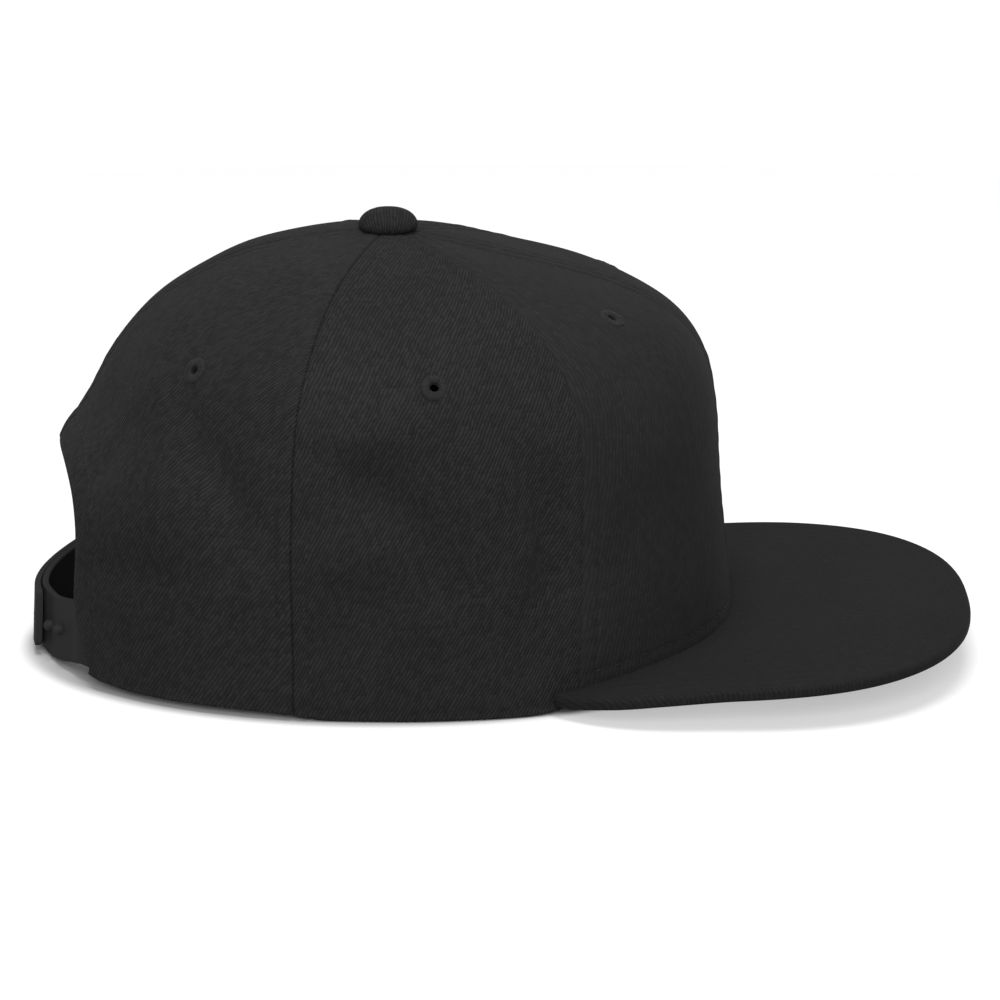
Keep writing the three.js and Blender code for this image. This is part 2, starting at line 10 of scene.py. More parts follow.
import bmesh
import bpy
import numpy as np
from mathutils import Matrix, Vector


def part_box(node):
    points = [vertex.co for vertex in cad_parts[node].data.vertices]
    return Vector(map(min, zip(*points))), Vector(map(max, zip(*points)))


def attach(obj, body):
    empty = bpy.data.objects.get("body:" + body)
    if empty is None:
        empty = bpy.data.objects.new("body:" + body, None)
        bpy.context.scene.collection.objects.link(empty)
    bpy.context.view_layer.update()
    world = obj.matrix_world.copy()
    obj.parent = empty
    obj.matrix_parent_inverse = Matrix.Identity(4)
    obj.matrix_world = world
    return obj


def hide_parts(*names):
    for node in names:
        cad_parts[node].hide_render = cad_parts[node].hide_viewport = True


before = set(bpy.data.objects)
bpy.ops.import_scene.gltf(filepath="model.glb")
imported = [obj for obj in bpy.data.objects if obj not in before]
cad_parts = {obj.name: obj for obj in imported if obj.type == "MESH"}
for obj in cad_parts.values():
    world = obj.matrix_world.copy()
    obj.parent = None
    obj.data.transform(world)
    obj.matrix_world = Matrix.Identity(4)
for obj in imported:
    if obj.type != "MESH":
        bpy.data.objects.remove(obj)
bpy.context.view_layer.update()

MM = 0.001

# Crown
RIM_LENGTH = 205.0
RIM_WIDTH = 155.0
CROWN_HEIGHT = 125.0
APEX_FORWARD = 1.8
CROWN_WALL = 1.8
FRONT_SQUARENESS = 2.3
BACK_SQUARENESS = 2.05
FOLD_DEPTH = 4.0
FRONT_SEAM = 50.4
SIDE_SEAM = 107.7
HALF_LENGTH = RIM_LENGTH / 2
HALF_WIDTH = RIM_WIDTH / 2
TOP_HOLE = 2.5

# Arch over the strap
ARCH_HALF = 39.5
ARCH_CROWN = 22.0
ARCH_HEIGHT = 63.4
ARCH_SHOULDER = ARCH_HEIGHT - ARCH_CROWN
ARCH_SQUARENESS = 2.5
ARCH_FOOT_SPREAD = 6.3
ARCH_FOOT_HEIGHT = 28.0
ARCH_FLARE = 3.4
ARCH_FLARE_REACH = 11.5

# Brim
BRIM_WIDTH = 172.0
BRIM_PROJECTION = 70.0
BRIM_THICKNESS = 3.5
BRIM_ANGLE = 55.0
BRIM_HEIGHT = 13.0
BRIM_DROP = 1.5
BRIM_SQUARENESS = 2.45
BRIM_WIDEST = 0.42
BRIM_TAIL_PULL = 0.43
BRIM_TAIL_ANGLE = 41.0
BRIM_CORNER_WIDTH = 2.0
BRIM_ROUND_SHARE = 0.68
BRIM_SEAM_UP = 0.07
CORNER_SPREAD = 5.0

# Band inside the rim
BAND_HEIGHT = 30.0
BAND_THICKNESS = 1.2
BAND_RISE = 1.0
BAND_CLEARANCE = 0.6
BAND_STEP_ANGLE = 4.0
BAND_RIBS = 50.0

# Snap strap
STRAP_HEIGHT = 19.0
STRAP_TIP_HEIGHT = 17.5
STUD_TIP_HEIGHT = 18.8
STRAP_THICKNESS = 2.0
STRAP_LIFT = 4.9
STRAP_SAG = 3.3
STRAP_BOW = 1.2
STRAP_SPRING = 1.6
STRAP_SPRING_LENGTH = 8.0
STRAP_DROP = 1.8
STRAP_TUCK = 14.0
STRAP_CLEAR = 4.0
STUD_PITCH = 9.3
STUD_WIDTH = 3.2
STUD_COUNT = 7
HOLES_SHARED = 5
LAP_SHIFT = -9.65
STRAP_END_MARGIN = 5.0
STRAP_TONGUE = 3.3
STRAP_END_RADIUS = 2.0
FIT = 0.3
HOLE_COUNT = 7

# Sewing: rows of stitches by their distance from a seam, the arch's edge and the top of the brim
SEAM_ROW = 5.0
HEM_ROW = 7.9
JOIN_ROW = 3.6
STITCH_PITCH = 3.2
STITCH_LENGTH = 2.1
THREAD_RADIUS = 0.24
STITCH_SINK = 0.1
PUCKER_PITCH = 5.6
EDGE_ROUND = 0.9
EDGE_DROP = 0.75
ALLOWANCE_THICKNESS = 0.7
ALLOWANCE_WIDTH = 7.0
BRIM_SEWN_IN = 0.55

# The crown from its rim to its top: height, front, back and side, as shares of its height, half length
# and half width
HEIGHT, FRONT, BACK, SIDE = range(4)
SECTIONS = np.array([
    (0.0, 1.004, 1.0, 1.0),
    (0.12, 0.995, 0.995, 1.012),
    (0.28, 0.973, 0.972, 1.03),
    (0.45, 0.95, 0.925, 1.04),
    (0.6, 0.937, 0.845, 1.025),
    (0.72, 0.898, 0.78, 0.965),
    (0.81, 0.805, 0.692, 0.865),
    (0.885, 0.62, 0.57, 0.72),
    (0.945, 0.345, 0.425, 0.52),
    (0.982, 0.15, 0.25, 0.29),
    (1.0, 0.0, 0.0, 0.0),
])

# Rise of the cloth's lower edge behind the brim: angle from the front, share of the crown height
RIM_RISE = np.array([(100, 0.0), (110, 0.012), (120, 0.015), (140, 0.016), (148, 0.022), (154, 0.034),
                     (180, 0.036)])

# Dents and bulges: angle, height, depth as a share of the fold depth, spread round, spread up, lean
LEAN_HEIGHT = 0.2
FOLDS = [
    (-160, 0.62, -0.6, 9, 0.1, 0),
    (-128, 0.6, -0.55, 5, 0.16, -14),
    (-143, 0.42, 0.45, 10, 0.13, 0),
    (-92, 0.56, -0.5, 9, 0.1, 10),
    (-98, 0.22, -0.45, 8, 0.12, 10),
    (-70, 0.55, 0.4, 6, 0.24, -8),
    (-55, 0.36, -0.6, 5, 0.22, 0),
    (60, 0.42, -0.6, 6, 0.2, 0),
    (84, 0.5, 0.35, 8, 0.2, 8),
    (97, 0.3, -0.45, 7, 0.12, -8),
    (130, 0.5, -0.5, 6, 0.16, 12),
    (148, 0.66, -0.4, 8, 0.1, 0),
]

# Small creases of the worn cloth: angle, height, depth in millimetres, half width and half length in
# millimetres, and the direction of the crease in degrees from level
CREASES = [
    (-84, 0.47, -2.6, 6.5, 27.0, 130),
    (-93, 0.56, -1.5, 6.0, 10.0, 12),
    (-92, 0.67, 1.0, 6.5, 12.0, 8),
    (-97, 0.3, -1.2, 6.0, 10.0, 170),
    (-97, 0.385, 1.1, 6.5, 12.0, 0),
    (-69.5, 0.65, 1.7, 6.0, 38.0, 101),
    (-57, 0.38, -2.2, 5.5, 34.0, 92),
    (-62, 0.78, 1.1, 6.0, 28.0, 119),
    (-78, 0.26, -0.9, 8.0, 14.0, 40),
    (-152, 0.54, -2.0, 7.0, 10.0, 60),
    (-133, 0.47, 2.0, 9.0, 16.0, 100),
    (-121, 0.54, -1.3, 6.0, 24.0, 100),
    (-137, 0.31, -1.7, 8.0, 16.0, 10),
    (-118, 0.24, 0.9, 6.0, 14.0, 60),
    (-146, 0.72, 0.8, 6.0, 14.0, 50),
    (-166, 0.74, -0.8, 7.0, 12.0, 110),
    (-106, 0.72, 0.7, 6.0, 16.0, 70),
    (-38, 0.5, -0.4, 8.0, 26.0, 88),
    (60, 0.42, -1.5, 6.0, 30.0, 88),
    (72, 0.62, 1.0, 6.0, 28.0, 82),
    (90, 0.5, -1.6, 6.5, 24.0, 56),
    (100, 0.32, -1.2, 7.0, 12.0, 120),
    (118, 0.5, -1.3, 6.0, 20.0, 78),
    (132, 0.42, 1.3, 9.0, 16.0, 84),
    (146, 0.66, -1.1, 6.0, 12.0, 120),
    (38, 0.45, -0.4, 8.0, 24.0, 92),
]

# Top of the brim: share of the way forward, share of the brim height
BRIM_PROFILE = np.array([(0.0, 0.5), (0.12, 0.64), (0.25, 0.8), (0.42, 0.93), (0.65, 1.01), (1.0, 1.07)])

# Sewn air holes: gore, angle, height
AIR_HOLES = [("front", 28.0, 0.852), ("side", 78.5, 0.765), ("back", 136.0, 0.765)]
HOLE_BORE = 1.3
HOLE_RIM = 3.85
HOLE_CUT = 2.3

button_low, button_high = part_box("top_button")
SHIFT = np.array([(button_low[0] + button_high[0]) / 2 / MM - APEX_FORWARD, 0.0, 0.0])


def smooth_step(value):
    t = np.clip(value, 0.0, 1.0)
    return t * t * (3 - 2 * t)


def hump(value, centre, width):
    """One inside the middle of a rounded bump, falling to nothing on both sides."""
    return np.exp(-(((value - centre) / width) ** 2))


def hermite(t, span, start, end, leave, arrive):
    """Curve between two values with given slopes, at a share t of the span between them."""
    return (
        start * (1 + 2 * t) * (1 - t) ** 2
        + end * t * t * (3 - 2 * t)
        + span * leave * t * (1 - t) ** 2
        - span * arrive * t * t * (1 - t)
    )


def smooth_row(table, at):
    """Smooth curve through a table of places and values, flat at both ends."""
    keys, values = table[:, 0], table[:, 1]
    at = np.clip(np.asarray(at, float), keys[0], keys[-1])
    rise = np.diff(values) / np.diff(keys)
    before, after = rise[:-1], rise[1:]
    same_way = before * after > 0
    inner = np.where(same_way, 2 * before * after / np.where(same_way, before + after, 1.0), 0.0)
    slopes = np.concatenate([[0.0], inner, [0.0]])
    i = np.clip(np.searchsorted(keys, at, side="left") - 1, 0, len(keys) - 2)
    span = keys[i + 1] - keys[i]
    return hermite((at - keys[i]) / span, span, values[i], values[i + 1], slopes[i], slopes[i + 1])


# Share of the way up each section, by the length of the side outline
SECTION_GAPS = np.hypot(np.diff(SECTIONS[:, HEIGHT]) * CROWN_HEIGHT, np.diff(SECTIONS[:, SIDE]) * HALF_WIDTH)
OUTLINE_LENGTH = float(SECTION_GAPS.sum())
OUTLINE_UP = np.concatenate([[0.0], np.cumsum(SECTION_GAPS)]) / OUTLINE_LENGTH


def outline_slopes(column):
    """Slopes of one column of the sections, for a smooth outline through them."""
    values = SECTIONS[:, column]
    low = np.maximum(np.arange(len(values)) - 1, 0)
    high = np.minimum(np.arange(len(values)) + 1, len(values) - 1)
    slopes = (values[high] - values[low]) / (OUTLINE_UP[high] - OUTLINE_UP[low])
    slopes[-1] = 0.0 if column == HEIGHT else -values[-2] / (1 - OUTLINE_UP[-2])
    return slopes


OUTLINE_SLOPES = [outline_slopes(column) for column in range(4)]


def outline_at(column, up):
    """One column of the sections at a share of the way up."""
    up = np.asarray(up, float)
    i = np.clip(np.searchsorted(OUTLINE_UP, up, side="left") - 1, 0, len(OUTLINE_UP) - 2)
    span = OUTLINE_UP[i + 1] - OUTLINE_UP[i]
    values, slopes = SECTIONS[:, column], OUTLINE_SLOPES[column]
    t = (up - OUTLINE_UP[i]) / span
    return hermite(t, span, values[i], values[i + 1], slopes[i], slopes[i + 1])


UP_SAMPLES = np.linspace(0, 1, 4001)
HEIGHT_SAMPLES = np.maximum.accumulate(outline_at(HEIGHT, UP_SAMPLES))


def up_at_height(height):
    """Share of the way up at which the crown reaches a share of its height."""
    return np.interp(height, HEIGHT_SAMPLES, UP_SAMPLES)


def past_arch(y, z):
    """Distance outside the edge of the arch, below zero inside it."""
    above = np.maximum(0, z - ARCH_SHOULDER) / ARCH_CROWN
    size = (np.abs(y / ARCH_HALF) ** ARCH_SQUARENESS + above**ARCH_SQUARENESS) ** (1 / ARCH_SQUARENESS)
    return np.where(above > 0, (size - 1) * ARCH_CROWN, np.abs(y) - ARCH_HALF)


def arch_foot(z):
    """Half width of the arch below its round top."""
    return ARCH_HALF + ARCH_FOOT_SPREAD * smooth_step((ARCH_FOOT_HEIGHT - z) / ARCH_FOOT_HEIGHT)


# Steps by which the crown's slopes are measured, in degrees and shares, the highest share at which they
# are, and a length that counts as nothing
TURN_STEP = 0.5
UP_STEP = 0.005
NEAR_TOP = 0.989
TINY = 1e-6


def crown_point(around, up):
    """Outer face of the crown: degrees round from the front, share of the way up."""
    around, up = np.broadcast_arrays(np.asarray(around, float), np.asarray(up, float))
    a = np.radians(around)
    cos, sin = np.cos(a), np.sin(a)
    height = outline_at(HEIGHT, up)
    front = cos > 0
    long = np.maximum(np.where(front, outline_at(FRONT, up), outline_at(BACK, up)) * HALF_LENGTH, TINY)
    wide = np.maximum(outline_at(SIDE, up) * HALF_WIDTH, TINY)
    power = np.where(front, FRONT_SQUARENESS, BACK_SQUARENESS)
    reach = (np.abs(cos / long) ** power + np.abs(sin / wide) ** power) ** (-1 / power)
    for fold_around, fold_height, depth, spread_around, spread_up, lean in FOLDS:
        rise = height - fold_height
        turn = around - fold_around - lean * rise / LEAN_HEIGHT
        spread = (turn / spread_around) ** 2 + (rise / spread_up) ** 2
        reach = reach + FOLD_DEPTH * depth * np.exp(-spread)
    y, z = reach * sin, height * CROWN_HEIGHT
    away = np.maximum(0, past_arch(y, z))
    flare = ARCH_FLARE * np.exp(-((away / ARCH_FLARE_REACH) ** 2)) * np.minimum(1, z / ARCH_HEIGHT) ** 2
    reach = reach + np.where(front, 0.0, flare)
    axis = APEX_FORWARD * np.clip(height, 0, 1)
    return np.stack([axis + reach * cos, reach * sin, z], -1)


def unit(vectors):
    return vectors / np.maximum(np.linalg.norm(vectors, axis=-1, keepdims=True), 1e-12)


def crown_frame(around, up):
    """Outward normal, and millimetres to a degree round and to a whole share up."""
    top = np.minimum(up, NEAR_TOP)
    turn = crown_point(around + TURN_STEP, top) - crown_point(around - TURN_STEP, top)
    rise = (crown_point(around, top + UP_STEP) - crown_point(around, top - UP_STEP)) / (2 * UP_STEP)
    return unit(np.cross(turn, rise)), np.linalg.norm(turn, axis=-1), np.linalg.norm(rise, axis=-1)


def crown_inside(around, up, depth):
    """A point under the crown's outer face by a depth, or over it where the depth is below zero."""
    normal = crown_frame(around, up)[0]
    return crown_point(around, up) - normal * np.asarray(depth, float)[..., None]


BRIM_TIP = float(crown_point(0, BRIM_SEAM_UP)[0]) + BRIM_PROJECTION
BRIM_CORNER = crown_point(BRIM_ANGLE, BRIM_SEAM_UP / 2)


def brim_top(x, y):
    """Height of the brim's top face."""
    forward = (x - BRIM_CORNER[0]) / (BRIM_TIP - BRIM_CORNER[0])
    level = smooth_row(BRIM_PROFILE, forward) * BRIM_HEIGHT
    across = y / (BRIM_WIDTH / 2)
    return level + BRIM_DROP * (1 - across**2) * np.clip(forward * 2, 0, 1)


def foot_of_cloth(around):
    """Height of the cloth's lower edge above the floor."""
    turn = np.abs(around)
    face = crown_point(around, BRIM_SEAM_UP)
    under_brim = brim_top(face[..., 0], face[..., 1]) - BRIM_THICKNESS
    front = under_brim * smooth_step((BRIM_ANGLE + CORNER_SPREAD - turn) / (3 * CORNER_SPREAD))
    return np.where(turn > BRIM_ANGLE + CORNER_SPREAD, smooth_row(RIM_RISE, turn) * CROWN_HEIGHT, front)


TURN_SAMPLES = np.linspace(90, 180, 1801)
ARCH_PATH_LOW = 5.0
ARCH_SIDE_SAMPLES = 60
ARCH_TOP_SAMPLES = 240
ARCH_LINE_POINTS = 240


def back_place(y, z):
    """Angle and share up of a point of the back, from its width and height (wearer's left)."""
    y, z = np.broadcast_arrays(np.asarray(y, float), np.asarray(z, float))
    up = up_at_height(z / CROWN_HEIGHT)
    around = np.empty(up.shape)
    for i, (width, share) in enumerate(zip(y.ravel(), up.ravel())):
        widths = crown_point(TURN_SAMPLES, share)[:, 1]
        around.ravel()[i] = np.interp(-width, -widths, TURN_SAMPLES)
    return around, up


def arch_path(count, outward=0.0):
    """Width and height of points from the foot of the arch's side to the middle of its top.

    A line outward of the edge keeps upright at the spread foot, as the sewn row of the hem does.
    """
    low = np.linspace(ARCH_PATH_LOW, ARCH_SHOULDER, ARCH_SIDE_SAMPLES)[:-1]
    turn = np.linspace(0, math.pi / 2, ARCH_TOP_SAMPLES)
    power = 2 / ARCH_SQUARENESS
    side = np.full_like(low, ARCH_HALF) if outward else arch_foot(low)
    edge = np.stack([
        np.concatenate([side, ARCH_HALF * np.clip(np.cos(turn), 0, 1) ** power]),
        np.concatenate([low, ARCH_SHOULDER + ARCH_CROWN * np.sin(turn) ** power]),
    ], -1)
    length = along(edge)
    at = np.linspace(0, length[-1], count)
    y, z = (np.interp(at, length, edge[:, k]) for k in (0, 1))
    leave = np.hypot(np.gradient(y), np.gradient(z))
    return y + outward * np.gradient(z) / leave, z - outward * np.gradient(y) / leave


def along(points):
    """Length along a line of points."""
    return np.concatenate([[0.0], np.cumsum(np.linalg.norm(np.diff(points, axis=0), axis=1))])


LINE_PART = 40


def distance_to_line(points, line):
    """Least distance from each point to a finely spaced line of points, taken a part at a time."""
    flat = points.reshape(-1, 3)
    least = np.full(len(flat), np.inf)
    for start in range(0, len(line), LINE_PART):
        part = line[start : start + LINE_PART]
        gap = np.linalg.norm(flat[:, None, :] - part[None, :, :], axis=2).min(axis=1)
        least = np.minimum(least, gap)
    return least.reshape(points.shape[:-1])


def slab_faces(rows, columns, kept):
    """Faces of a closed slab between two grids, with walls round every missing cell."""
    count = rows * columns
    index = np.arange(count).reshape(rows, columns)
    a, b, c, d = index[:-1, :-1], index[1:, :-1], index[1:, 1:], index[:-1, 1:]
    outer = np.stack([a, b, c, d], -1)[kept]
    inner = outer[:, ::-1] + count
    start = outer.ravel()
    end = np.roll(outer, -1, axis=1).ravel()
    border = ~np.isin(end * count + start, start * count + end)
    start, end = start[border], end[border]
    walls = np.stack([end, start, start + count, end + count], -1)
    return np.concatenate([outer, inner, walls])


def make_mesh(name, points, faces, uv=None, sharp_angle=None):
    """A new object from points in millimetres and faces of four corners, turned outward."""
    points = np.asarray(points, float).reshape(-1, 3)
    faces = np.asarray(faces)
    corners = points[faces]
    first, second, third = corners[:, 0], corners[:, 1], corners[:, 2]
    volume = np.einsum("ij,ij->i", first, np.cross(second, third)).sum()
    volume += np.einsum("ij,ij->i", first, np.cross(third, corners[:, 3])).sum()
    if volume < 0:
        faces = faces[:, ::-1]
    mesh = bpy.data.meshes.new(name)
    mesh.from_pydata(((points + SHIFT) * MM).tolist(), [], faces.tolist())
    if uv is not None:
        layer = mesh.uv_layers.new(name="cloth")
        corner_points = np.empty(len(mesh.loops), dtype=np.int32)
        mesh.loops.foreach_get("vertex_index", corner_points)
        layer.data.foreach_set("uv", np.asarray(uv, float).reshape(-1, 2)[corner_points].ravel())
    mesh.polygons.foreach_set("use_smooth", [True] * len(mesh.polygons))
    if sharp_angle:
        mesh.set_sharp_from_angle(angle=math.radians(sharp_angle))
    mesh.update()
    piece = bpy.data.objects.new(name, mesh)
    bpy.context.scene.collection.objects.link(piece)
    return piece


def fit_piece(piece, slot, material, *nodes):
    """Gives a piece its material, hides the imported parts that it stands for and puts it under the root
    body.
    """
    piece.data.materials.clear()
    piece.data.materials.append(material)
    if nodes:
        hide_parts(*nodes)
    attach(piece, "root")


# Node helpers
NUMBER, VECTOR = "NodeSocketFloat", "NodeSocketVector"
MIX_FIRST, MIX_SECOND, MIX_COLOUR = 6, 7, 2
FULL_TURN = 2 * math.pi


def connect(tree, value, socket):
    """Links a socket to another node's output, or sets it to a value."""
    if isinstance(value, bpy.types.NodeSocket):
        tree.links.new(value, socket)
    else:
        socket.default_value = value


def add_node(tree, kind, sockets=None):
    """A new node, with its input sockets set or linked by their labels."""
    node = tree.nodes.new("ShaderNode" + kind)
    for label, value in (sockets or {}).items():
        connect(tree, value, node.inputs[label])
    return node


def math_node(tree, operation, *values, clamp=False):
    node = tree.nodes.new("ShaderNodeMath")
    node.operation = operation
    node.use_clamp = clamp
    for socket, value in zip(node.inputs, values):
        connect(tree, value, socket)
    return node.outputs[0]


def map_range(tree, value, to_min, to_max, from_min=0.0, from_max=1.0):
    """A value carried from one range to another."""
    return add_node(tree, "MapRange", {
        "Value": value, "From Min": from_min, "From Max": from_max, "To Min": to_min, "To Max": to_max,
    }).outputs[0]


def mix_colours(tree, factor, first, second):
    node = add_node(tree, "Mix")
    node.data_type = "RGBA"
    connect(tree, factor, node.inputs["Factor"])
    connect(tree, first, node.inputs[MIX_FIRST])
    connect(tree, second, node.inputs[MIX_SECOND])
    return node.outputs[MIX_COLOUR]


def new_group(name, inputs, outputs):
    """An empty node group: inputs by label, socket type and value, and labels of its number outputs."""
    group = bpy.data.node_groups.new(name, "ShaderNodeTree")
    for label, kind, value in inputs:
        socket = group.interface.new_socket(name=label, in_out="INPUT", socket_type=kind)
        if value is not None:
            socket.default_value = value
    for label in outputs:
        group.interface.new_socket(name=label, in_out="OUTPUT", socket_type=NUMBER)
    source, result = group.nodes.new("NodeGroupInput"), group.nodes.new("NodeGroupOutput")
    return group, source.outputs, result.inputs


def add_group(tree, group, sockets=None):
    """A material's own copy of a node group, and what it puts out."""
    node = tree.nodes.new("ShaderNodeGroup")
    node.node_tree = group
    for label, value in (sockets or {}).items():
        connect(tree, value, node.inputs[label])
    return node.outputs


def twill_weave_group():
    """Slanting ribs of floating yarns: x runs across the ribs and y along them, in millimetres."""
    sway_reach, rib_sharpness, furrow_sharpness = 4.0, 0.75, 1.4
    quarter, float_stagger = 0.25, 0.381
    float_lift, float_level, chance_lift, fibre_lift = 0.16, 0.62, 0.36, 0.4
    chance_tone, fibre_tone = 0.45, 0.55
    group, source, result = new_group(
        "twill weave",
        [("Cloth", VECTOR, None), ("Rib Pitch", NUMBER, 1.05), ("Float Length", NUMBER, 1.6),
         ("Unevenness", NUMBER, 0.35)],
        ["Height", "Furrow", "Yarn Tone"],
    )
    calc = partial(math_node, group)
    cloth = add_node(group, "SeparateXYZ", {"Vector": source["Cloth"]})
    drift = add_node(group, "TexNoise", {"Vector": source["Cloth"], "Scale": 0.16, "Detail": 3.0})
    sway = calc("MULTIPLY", calc("SUBTRACT", drift.outputs[0], 0.5), source["Unevenness"])
    across = calc("ADD", cloth.outputs["X"], calc("MULTIPLY", sway, sway_reach))
    ribs = calc("DIVIDE", across, source["Rib Pitch"])
    wave = calc("MULTIPLY_ADD", calc("SINE", calc("MULTIPLY", ribs, FULL_TURN)), 0.5, 0.5)
    rib = calc("POWER", wave, rib_sharpness)
    rib_number = calc("FLOOR", calc("ADD", ribs, quarter))
    floats = calc("DIVIDE", cloth.outputs["Y"], source["Float Length"])
    floats = calc("ADD", floats, calc("MULTIPLY", rib_number, float_stagger))
    float_wave = calc("SINE", calc("MULTIPLY", floats, FULL_TURN))
    float_number = calc("FLOOR", calc("ADD", floats, quarter))
    cell = add_node(group, "CombineXYZ", {"X": rib_number, "Y": float_number})
    chance = add_node(group, "TexWhiteNoise", {"Vector": cell.outputs[0]}).outputs[0]
    yarn = add_node(group, "TexNoise", {
        "Vector": source["Cloth"], "Scale": 1.1, "Detail": 4.0, "Roughness": 0.65,
    }).outputs[0]
    lift = calc("MULTIPLY_ADD", float_wave, float_lift, float_level)
    lift = calc("ADD", lift, calc("MULTIPLY", chance, chance_lift))
    height = calc("ADD", calc("MULTIPLY", rib, lift), calc("MULTIPLY", yarn, fibre_lift))
    connect(group, height, result["Height"])
    connect(group, calc("POWER", calc("SUBTRACT", 1.0, rib), furrow_sharpness), result["Furrow"])
    fibre = calc("MULTIPLY", yarn, fibre_tone)
    connect(group, calc("MULTIPLY_ADD", chance, chance_tone, fibre), result["Yarn Tone"])
    return group


def cloth_wear_group():
    """Faint clouds of dust and rubbing, in object space so that they run on across the seams."""
    lint_from, lint_gain = 0.66, 8.0
    group, source, result = new_group(
        "cloth wear",
        [("Cloud Size", NUMBER, 28.0), ("Lint Size", NUMBER, 900.0), ("Lint Amount", NUMBER, 0.5)],
        ["Clouds", "Lint"],
    )
    calc = partial(math_node, group)
    place = add_node(group, "TexCoord").outputs["Object"]
    clouds = add_node(group, "TexNoise", {"Vector": place, "Scale": source["Cloud Size"], "Detail": 3.0})
    connect(group, clouds.outputs[0], result["Clouds"])
    lint = add_node(group, "TexNoise", {"Vector": place, "Scale": source["Lint Size"], "Detail": 2.0})
    speck = calc("SUBTRACT", lint.outputs[0], lint_from, clamp=True)
    speck = calc("MULTIPLY", speck, lint_gain, clamp=True)
    connect(group, calc("MULTIPLY", speck, source["Lint Amount"]), result["Lint"])
    return group


TWILL_WEAVE = twill_weave_group()
CLOTH_WEAR = cloth_wear_group()


def tone(value):
    return (value, value, value, 1.0)


def new_material(name, sockets):
    """A material of one Principled shader, with its input sockets set by their labels."""
    material = bpy.data.materials.new(name)
    material.use_nodes = True
    tree = material.node_tree
    tree.nodes.clear()
    shader = add_node(tree, "BsdfPrincipled", sockets)
    tree.links.new(shader.outputs[0], add_node(tree, "OutputMaterial").inputs["Surface"])
    return material, tree, shader.inputs


def add_relief(tree, shader, height, depth, strength=1.0):
    """Fine relief of the surface, its depth in millimetres."""
    bump = add_node(tree, "Bump", {"Strength": strength, "Distance": depth * MM, "Height": height})
    tree.links.new(bump.outputs[0], shader["Normal"])


def twill_material(name, base, rib_pitch, rib_depth, painted_rib_shade, variety):
    """Black cotton twill: ribs in relief, painted light on the rib tops and painted shade in the furrows,
    tone clouds and a little lint.
    """
    float_ratio, lint_share, lint_tone = 1.6, 0.3, 3.0
    material, tree, shader = new_material(name, {
        "Specular IOR Level": 0.06, "Sheen Weight": 0.03, "Sheen Roughness": 0.45, "Sheen Tint": tone(0.5),
    })
    cloth = add_node(tree, "UVMap")
    cloth.uv_map = "cloth"
    weave = add_group(tree, TWILL_WEAVE, {
        "Cloth": cloth.outputs[0], "Rib Pitch": rib_pitch, "Float Length": rib_pitch * float_ratio,
    })
    wear = add_group(tree, CLOTH_WEAR)
    # Painted light and shade of the weave: rib tops painted lighter and furrows painted darker than the base
    # tone.
    ribs = mix_colours(tree, weave["Furrow"], tone(base * (1 + painted_rib_shade)), tone(base * (1 - painted_rib_shade)))
    yarns = map_range(tree, weave["Yarn Tone"], 1 - variety, 1 + variety)
    clouds = map_range(tree, wear["Clouds"], 0.93, 1.07, from_min=0.3, from_max=0.7)
    toned = add_node(tree, "VectorMath")
    toned.operation = "SCALE"
    connect(tree, ribs, toned.inputs[0])
    connect(tree, math_node(tree, "MULTIPLY", yarns, clouds), toned.inputs["Scale"])
    lint = math_node(tree, "MULTIPLY", wear["Lint"], lint_share)
    connect(tree, mix_colours(tree, lint, toned.outputs[0], tone(base * lint_tone)), shader["Base Color"])
    connect(tree, map_range(tree, weave["Furrow"], 0.8, 0.98), shader["Roughness"])
    add_relief(tree, shader, weave["Height"], rib_depth)
    return material


def thread_material(name, base):
    """Matt sewing thread, with fine twist lines across it."""
    material, tree, shader = new_material(name, {"Specular IOR Level": 0.15, "Sheen Weight": 0.04})
    place = add_node(tree, "TexCoord").outputs["Object"]
    twist = add_node(tree, "TexNoise", {"Vector": place, "Scale": 2600.0, "Detail": 2.0}).outputs[0]
    connect(tree, mix_colours(tree, twist, tone(base * 0.75), tone(base * 1.25)), shader["Base Color"])
    connect(tree, map_range(tree, twist, 0.55, 0.75), shader["Roughness"])
    add_relief(tree, shader, twist, 0.08)
    return material


def plastic_material(name, base):
    """Satin moulded plastic with a fine grain and a few rubbed patches."""
    material, tree, shader = new_material(name, {"Specular IOR Level": 0.06})
    place = add_node(tree, "TexCoord").outputs["Object"]
    grain = add_node(tree, "TexNoise", {"Vector": place, "Scale": 1400.0, "Detail": 3.0}).outputs[0]
    rubbed = add_group(tree, CLOTH_WEAR, {"Cloud Size": 60.0})["Clouds"]
    connect(tree, mix_colours(tree, rubbed, tone(base * 0.9), tone(base * 1.1)), shader["Base Color"])
    connect(tree, map_range(tree, rubbed, 0.6, 0.75), shader["Roughness"])
    add_relief(tree, shader, grain, 0.03, strength=0.5)
    return material


# Twills: base tone, rib pitch and relief in millimetres, painted light on the ribs and painted shade in the
# furrows, variety of the yarns
FRONT_TWILL = twill_material("front_twill", 0.0146, 1.1, 0.09, 0.1, 0.25)
SIDE_TWILL = twill_material("side_twill", 0.0143, 0.98, 0.2, 0.26, 0.45)
BACK_TWILL = twill_material("back_twill", 0.0146, 0.98, 0.18, 0.24, 0.45)
BRIM_TWILL = twill_material("brim_twill", 0.01, 1.06, 0.06, 0.14, 0.2)
BAND_CLOTH = twill_material("band_cloth", 0.012, 0.7, 0.08, 0.2, 0.25)
THREAD = thread_material("sewing_thread", 0.0118)
BRIM_THREAD = thread_material("brim_thread", 0.009)
EYELET_THREAD = thread_material("eyelet_thread", 0.0108)
STRAP_PLASTIC = plastic_material("strap_plastic", 0.021)

